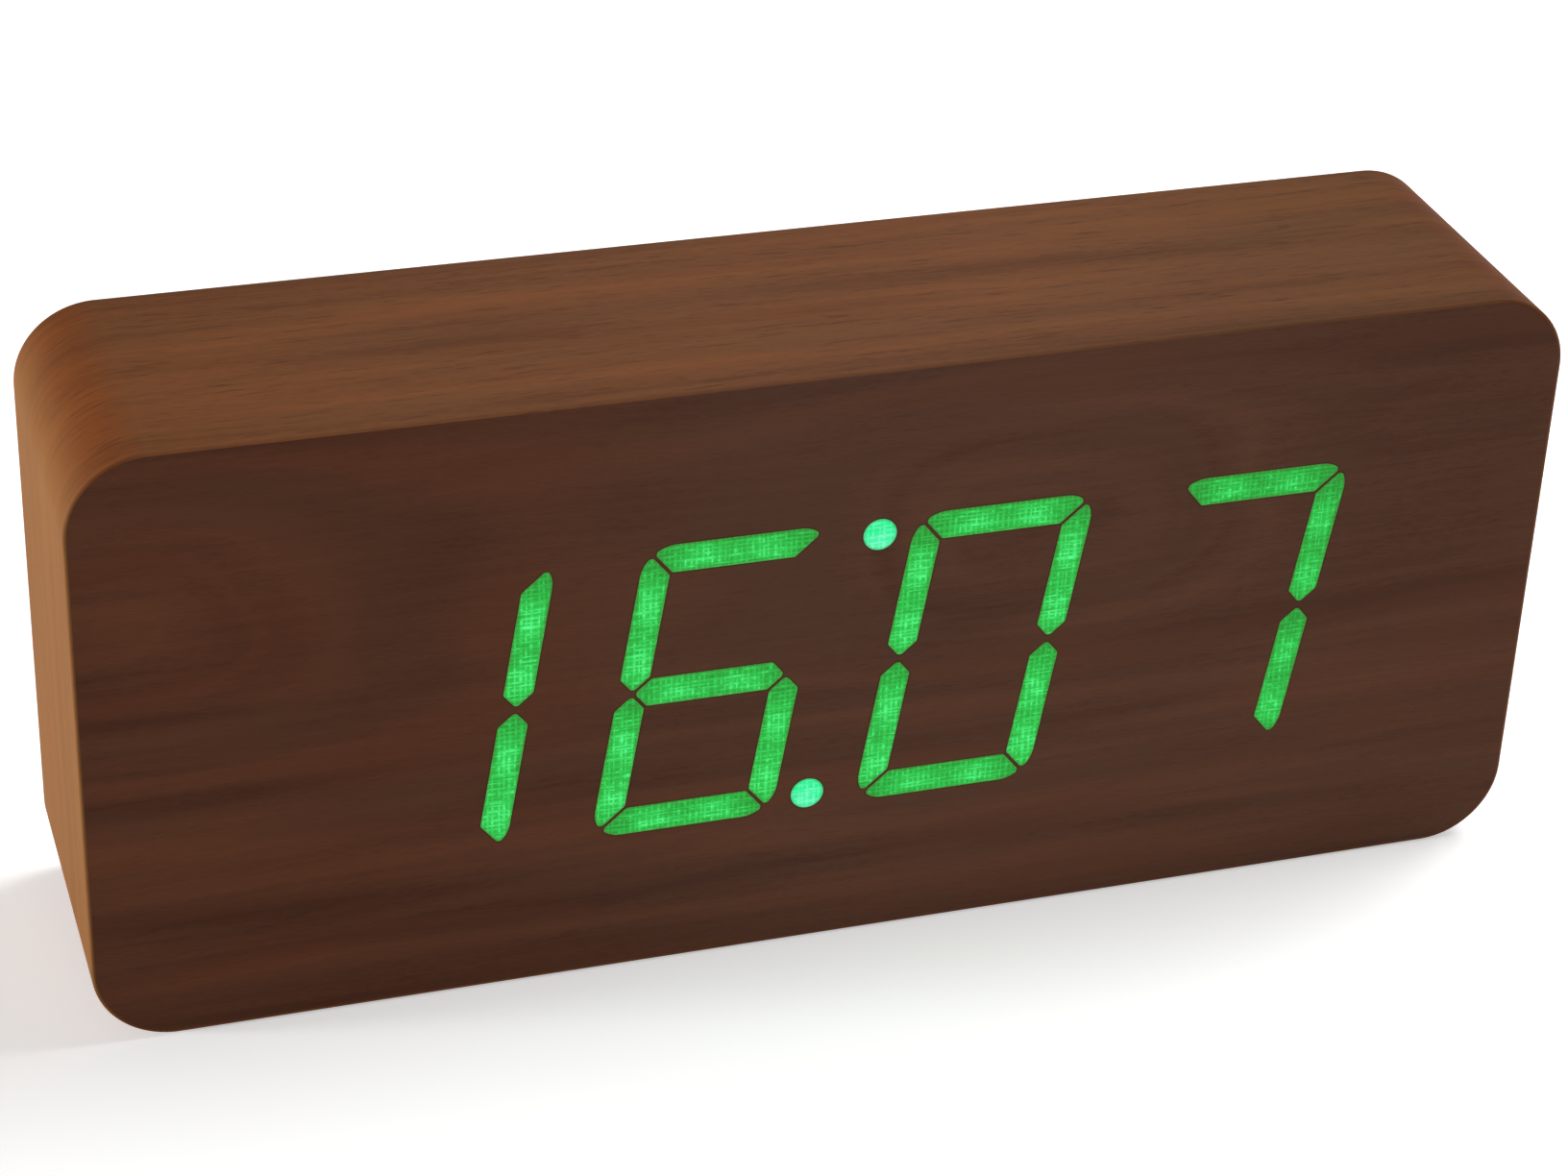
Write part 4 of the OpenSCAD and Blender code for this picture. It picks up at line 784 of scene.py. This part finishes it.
def moulded_skin(s, colour, rough, grain_mm, depth_mm):
    """Colour, roughness and normal of a spark-eroded skin with lighter edges, partly rubbed and partly a
    painted highlight.
    """
    at = s.place_mm()
    skin = s.noise(at, (grain_mm,) * 3, detail=3, rough=0.6)
    cloud = s.noise(at, SKIN_CLOUD_MM)
    normal, edge = s.soft_edges(RUB_AND_HIGHLIGHT_EDGE_MM)
    height = s.vary(s.math("ADD", skin, s.vary(cloud, *SKIN_CLOUD_TONE)))
    tint = s.mix(height, brightened(colour, *PIT), brightened(colour, *PEAK))
    # Lighter edges, partly wear and partly a painted highlight
    rub_and_highlight = s.math("MULTIPLY", edge, s.spread(cloud, *NARROW, *RUB_AND_HIGHLIGHT_SHARE))
    tint = s.mix(rub_and_highlight, tint, brightened(colour, *RUB_AND_HIGHLIGHT))
    broad_rough = s.vary(cloud, rough - CLOUD_ROUGH, rough + CLOUD_ROUGH)
    roughness = s.math("ADD", s.vary(skin, *SKIN_ROUGH), broad_rough)
    return tint, roughness, s.bump(skin, depth_mm, normal)


def moulded(name, skin):
    """Moulded plastic."""
    s = Shader(name, PLASTIC_SOCKETS)
    tint, roughness, normal = moulded_skin(s, *skin)
    return s.set(Base_Color=tint, Roughness=roughness, Normal=normal)


def marked_button():
    """Moulded plastic whose raised mark is printed white."""
    s = Shader("button_plastic", PLASTIC_SOCKETS)
    tint, roughness, normal = moulded_skin(s, *BUTTON_PLASTIC)
    at = s.place_mm()
    _, y, _ = s.parts(at)
    below_top = s.math("SUBTRACT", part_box("set_button")[1].y / MM, y)
    wear = s.spread(s.noise(at, WEAR_MM), *WEAR_RANGE, *WEAR_SHARE)
    printed = s.math("MULTIPLY", s.spread(below_top, PRINT_MM, 0.0), wear)
    return s.set(Base_Color=s.mix(printed, tint, PRINT_WHITE), Roughness=roughness, Normal=normal)


def metal(name, colour, rough, brushed_mm):
    """Plated metal with fine brush lines and dull patches."""
    s = Shader(name, {"Metallic": 1.0})
    at = s.place_mm()
    lines = s.noise(at, brushed_mm)
    patches = s.noise(at, PATCH_MM, detail=3)
    normal, _ = s.soft_edges(METAL_EDGE_MM)
    tint = s.mix(s.spread(patches, *PATCH_RANGE), colour, shade(colour, DULL_SHARE))
    patch_rough = s.vary(patches, rough, rough + PATCH_ROUGH)
    roughness = s.math("ADD", patch_rough, s.math("MULTIPLY", lines, BRUSH_ROUGH))
    return s.set(Base_Color=tint, Roughness=roughness, Normal=s.bump(lines, BRUSH_RELIEF_MM, normal))


def fibreboard():
    """Pressed wood fibre with dark and light flecks."""
    s = Shader("fibreboard", {"Specular IOR Level": 0.15})
    at = s.place_mm()
    flecks = s.noise(at, FLECK_MM, detail=3, rough=0.7)
    clouds = s.spread(s.noise(at, FIBRE_CLOUD_MM), *FIBRE_CLOUD_RANGE, 0.0, FIBRE_CLOUD_SHARE)
    colour = s.mix(clouds, s.mix(s.vary(flecks), FIBRE_DARK, FIBRE_LIGHT), FIBRE_CLOUD)
    rough = s.vary(flecks, *FIBRE_ROUGH)
    return s.set(Base_Color=colour, Roughness=rough, Normal=s.bump(flecks, FIBRE_RELIEF_MM))


def scrim():
    """Thin woven backing cloth."""
    s = Shader("scrim", {"Specular IOR Level": 0.1, "Roughness": 0.9})
    x, _, z = s.parts(s.place_mm())
    gaps, clouds = weave(s, s.vector(x, z, 0.0))
    colour = s.mix(gaps, s.mix(clouds, THREAD_DARK, THREAD_LIGHT), GAP_COLOUR)
    threads = s.spread(gaps, 0.0, 1.0, 1.0, 0.0)
    return s.set(Base_Color=colour, Normal=s.bump(threads, THREAD_RELIEF_MM))


def circuit_board():
    """Green solder mask over copper tracks."""
    s = Shader("circuit_board", {"Specular IOR Level": 0.5})
    at = s.place_mm()
    x, _, z = s.parts(at)
    lanes = s.noise(at, LANE_MM, detail=0)
    stepped = s.math("ADD", x, s.math("SNAP", s.math("MULTIPLY", lanes, LANE_SHIFT_MM), LANE_STEP_MM))
    track = s.spread(s.math("PINGPONG", stepped, TRACK_MM), *TRACK_EDGE_MM)
    unbroken = s.spread(s.math("PINGPONG", s.math("ADD", z, lanes), BREAK_MM), *BREAK_EDGE_MM)
    copper = s.math("MULTIPLY", track, unbroken)
    rough = s.vary(s.noise(at, MASK_GRAIN_MM), *MASK_ROUGH)
    colour = s.mix(copper, MASK_COLOUR, TRACK_COLOUR)
    return s.set(Base_Color=colour, Roughness=rough, Normal=s.bump(copper, TRACK_RELIEF_MM))


def lens_resin():
    """Milky cast resin with faint clouds."""
    s = Shader("lens_resin", {"Specular IOR Level": 0.5})
    clouds = s.noise(s.place_mm(), RESIN_CLOUD_MM, detail=3)
    colour = s.mix(clouds, RESIN_DARK, RESIN_LIGHT)
    rough = s.vary(clouds, *RESIN_ROUGH)
    return s.set(Base_Color=colour, Roughness=rough, Normal=s.bump(clouds, RESIN_RELIEF_MM))


def ribbon():
    """A flat cable of parallel wires, one of them marked."""
    s = Shader("ribbon_cable", {"Specular IOR Level": 0.4})
    at = s.place_mm()
    x, _, _ = s.parts(at)
    wires = s.math("PINGPONG", x, WIRE_PITCH_MM / 2)
    marked = s.math("LESS_THAN", x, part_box("ribbon_cable")[0].x / MM + WIRE_PITCH_MM)
    colour = s.mix(s.spread(wires, *GROOVE_EDGE_MM), GROOVE_COLOUR, WIRE_COLOUR)
    colour = s.mix(marked, colour, MARKED_COLOUR)
    rough = s.vary(s.noise(at, WIRE_GRAIN_MM), *WIRE_ROUGH)
    return s.set(Base_Color=colour, Roughness=rough, Normal=s.bump(wires, WIRE_RELIEF_MM))


def cell_sleeve():
    """A printed film sleeve with a pale ring near each end and fine scuffs."""
    s = Shader("cell_sleeve", {"Specular IOR Level": 0.5, "Coat Weight": 0.3, "Coat Roughness": 0.15})
    at = s.place_mm()
    x, _, _ = s.parts(at)
    low, high = (corner.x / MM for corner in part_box("battery_sleeves"))
    aside = s.math("ABSOLUTE", s.math("SUBTRACT", x, (low + high) / 2))
    from_end = s.math("SUBTRACT", (high - low) / 2, aside)
    inner = s.spread(from_end, RING_FROM_MM, RING_FROM_MM - RING_SOFT_MM)
    ring = s.math("MULTIPLY", inner, s.spread(from_end, RING_TO_MM, RING_TO_MM + RING_SOFT_MM))
    scuffs = s.noise(at, SCUFF_MM, detail=3)
    colour = s.mix(ring, s.mix(s.vary(scuffs), SLEEVE_DARK, SLEEVE_LIGHT), RING_COLOUR)
    rough = s.vary(scuffs, *SLEEVE_ROUGH)
    return s.set(Base_Color=colour, Roughness=rough, Normal=s.bump(scuffs, SCUFF_RELIEF_MM))


FINISHES = {
    "walnut_veneer": walnut_back,
    "fibreboard": fibreboard,
    "scrim": scrim,
    "button_plastic": marked_button,
    "lens_resin": lens_resin,
    "circuit_board": circuit_board,
    "ribbon_plastic": ribbon,
    "cell_sleeve": cell_sleeve,
}


def finish(slot):
    """The material of a slot. The lit veneer's slot has none, because no CAD node shows it."""
    if slot in PLASTICS:
        return moulded(slot, PLASTICS[slot])
    if slot in METALS:
        return metal(slot, *METALS[slot])
    return FINISHES[slot]() if slot in FINISHES else None


def dress_nodes():
    """Gives each CAD node the material of its slot, where the slot has one."""
    made = {}
    for part in frame["record"]["subparts"]:
        slot = part["material_slot"]
        if slot not in made:
            made[slot] = finish(slot)
        if made[slot] is not None:
            mesh = frame["nodes"][part["node"]].data
            mesh.materials.clear()
            mesh.materials.append(made[slot])


# Stage


def clear_defaults():
    kept = set(frame["nodes"].values()) | set(frame["bodies"].values())
    for thing in [o for o in bpy.data.objects if o not in kept]:
        bpy.data.objects.remove(thing)


def make_camera():
    data = bpy.data.cameras.new("camera")
    data.sensor_fit = "HORIZONTAL"
    data.sensor_width = SENSOR_MM
    data.lens = CAMERA_FOCAL_PX / PHOTO_WIDTH_PX * SENSOR_MM
    data.clip_start, data.clip_end = CLIP_START, CLIP_END
    camera = bpy.data.objects.new("camera", data)
    right, up = CAMERA_RIGHT.normalized(), -CAMERA_DOWN.normalized()
    turn = Matrix((right, up, right.cross(up))).transposed()
    camera.matrix_world = Matrix.Translation(CAMERA_AT) @ turn.to_4x4()
    bpy.context.scene.collection.objects.link(camera)
    bpy.context.scene.camera = camera


def softbox(name, at, size, watts):
    data = bpy.data.lights.new(name, "AREA")
    data.shape, data.size, data.energy = "DISK", size, watts
    lamp = bpy.data.objects.new(name, data)
    turn = (LAMPS_AIM - at).to_track_quat("-Z", "Y").to_matrix()
    lamp.matrix_world = Matrix.Translation(at) @ turn.to_4x4()
    bpy.context.scene.collection.objects.link(lamp)


def seen_directly(tree):
    """1 for rays that show the background to the camera, directly or in a gloss or glass."""
    path = tree.nodes.new("ShaderNodeLightPath")
    total = None
    for name in ("Is Camera Ray", "Is Glossy Ray", "Is Transmission Ray"):
        add = tree.nodes.new("ShaderNodeMath")
        add.operation, add.use_clamp = "ADD", True
        tree.links.new(path.outputs[name], add.inputs[0])
        add.inputs[1].default_value = 0.0
        if total is not None:
            tree.links.new(total, add.inputs[1])
        total = add.outputs[0]
    return total


def light_world():
    """A dim even light on the object, with a white background behind it."""
    world = bpy.data.worlds.new("studio")
    bpy.context.scene.world = world
    world.use_nodes = True
    tree = world.node_tree
    plain = tree.nodes["Background"]
    plain.inputs["Color"].default_value = (*WHITE, 1)
    plain.inputs["Strength"].default_value = AMBIENT
    white = tree.nodes.new("ShaderNodeBackground")
    white.inputs["Color"].default_value = (*WHITE, 1)
    white.inputs["Strength"].default_value = 1.0
    choose = tree.nodes.new("ShaderNodeMixShader")
    tree.links.new(seen_directly(tree), choose.inputs[0])
    tree.links.new(plain.outputs[0], choose.inputs[1])
    tree.links.new(white.outputs[0], choose.inputs[2])
    tree.links.new(choose.outputs[0], tree.nodes["World Output"].inputs["Surface"])


def make_floor():
    """A round pale floor that shows the object's shadow."""
    s = Shader("floor", {"Roughness": FLOOR_ROUGH, "Specular IOR Level": 0.0, "Emission Color": WHITE})
    at = s.place_mm()
    colour = s.mix(s.noise(at, MOTTLE_MM), shade(FLOOR_COLOUR, MOTTLE_SHARE), FLOOR_COLOUR)
    away = s.node("ShaderNodeVectorMath", {0: at}, operation="LENGTH").outputs["Value"]
    lift = s.spread(away, *FLOOR_FADE_MM, FLOOR_LIFT, 1.0)
    s.set(Base_Color=colour, Emission_Strength=s.math("MULTIPLY", seen_directly(s.tree), lift))
    turns = [2 * math.pi * i / FLOOR_SIDES for i in range(FLOOR_SIDES)]
    rim = [(FLOOR_RADIUS_MM * math.cos(t), FLOOR_RADIUS_MM * math.sin(t), -FLOOR_DROP_MM) for t in turns]
    floor = mesh_piece("floor", rim, [list(range(FLOOR_SIDES))], {}, s.material)


def light_stage():
    light_world()
    for name, (at, size, watts) in LAMPS.items():
        softbox(name, at, size, watts)
    make_floor()


def add_piece(piece, node):
    """Puts a piece in the place of a CAD node of the case."""
    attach(piece, "case")
    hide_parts(node)


clear_defaults()
bpy.context.scene.view_settings.view_transform = "Standard"
make_camera()
light_stage()
add_piece(veneer_front(walnut_front()), "front_veneer")
add_piece(digits_lit(lit_veneer()), "lit_segments")
add_piece(veneer_wrap(walnut_wrap()), "side_veneer")
dress_nodes()
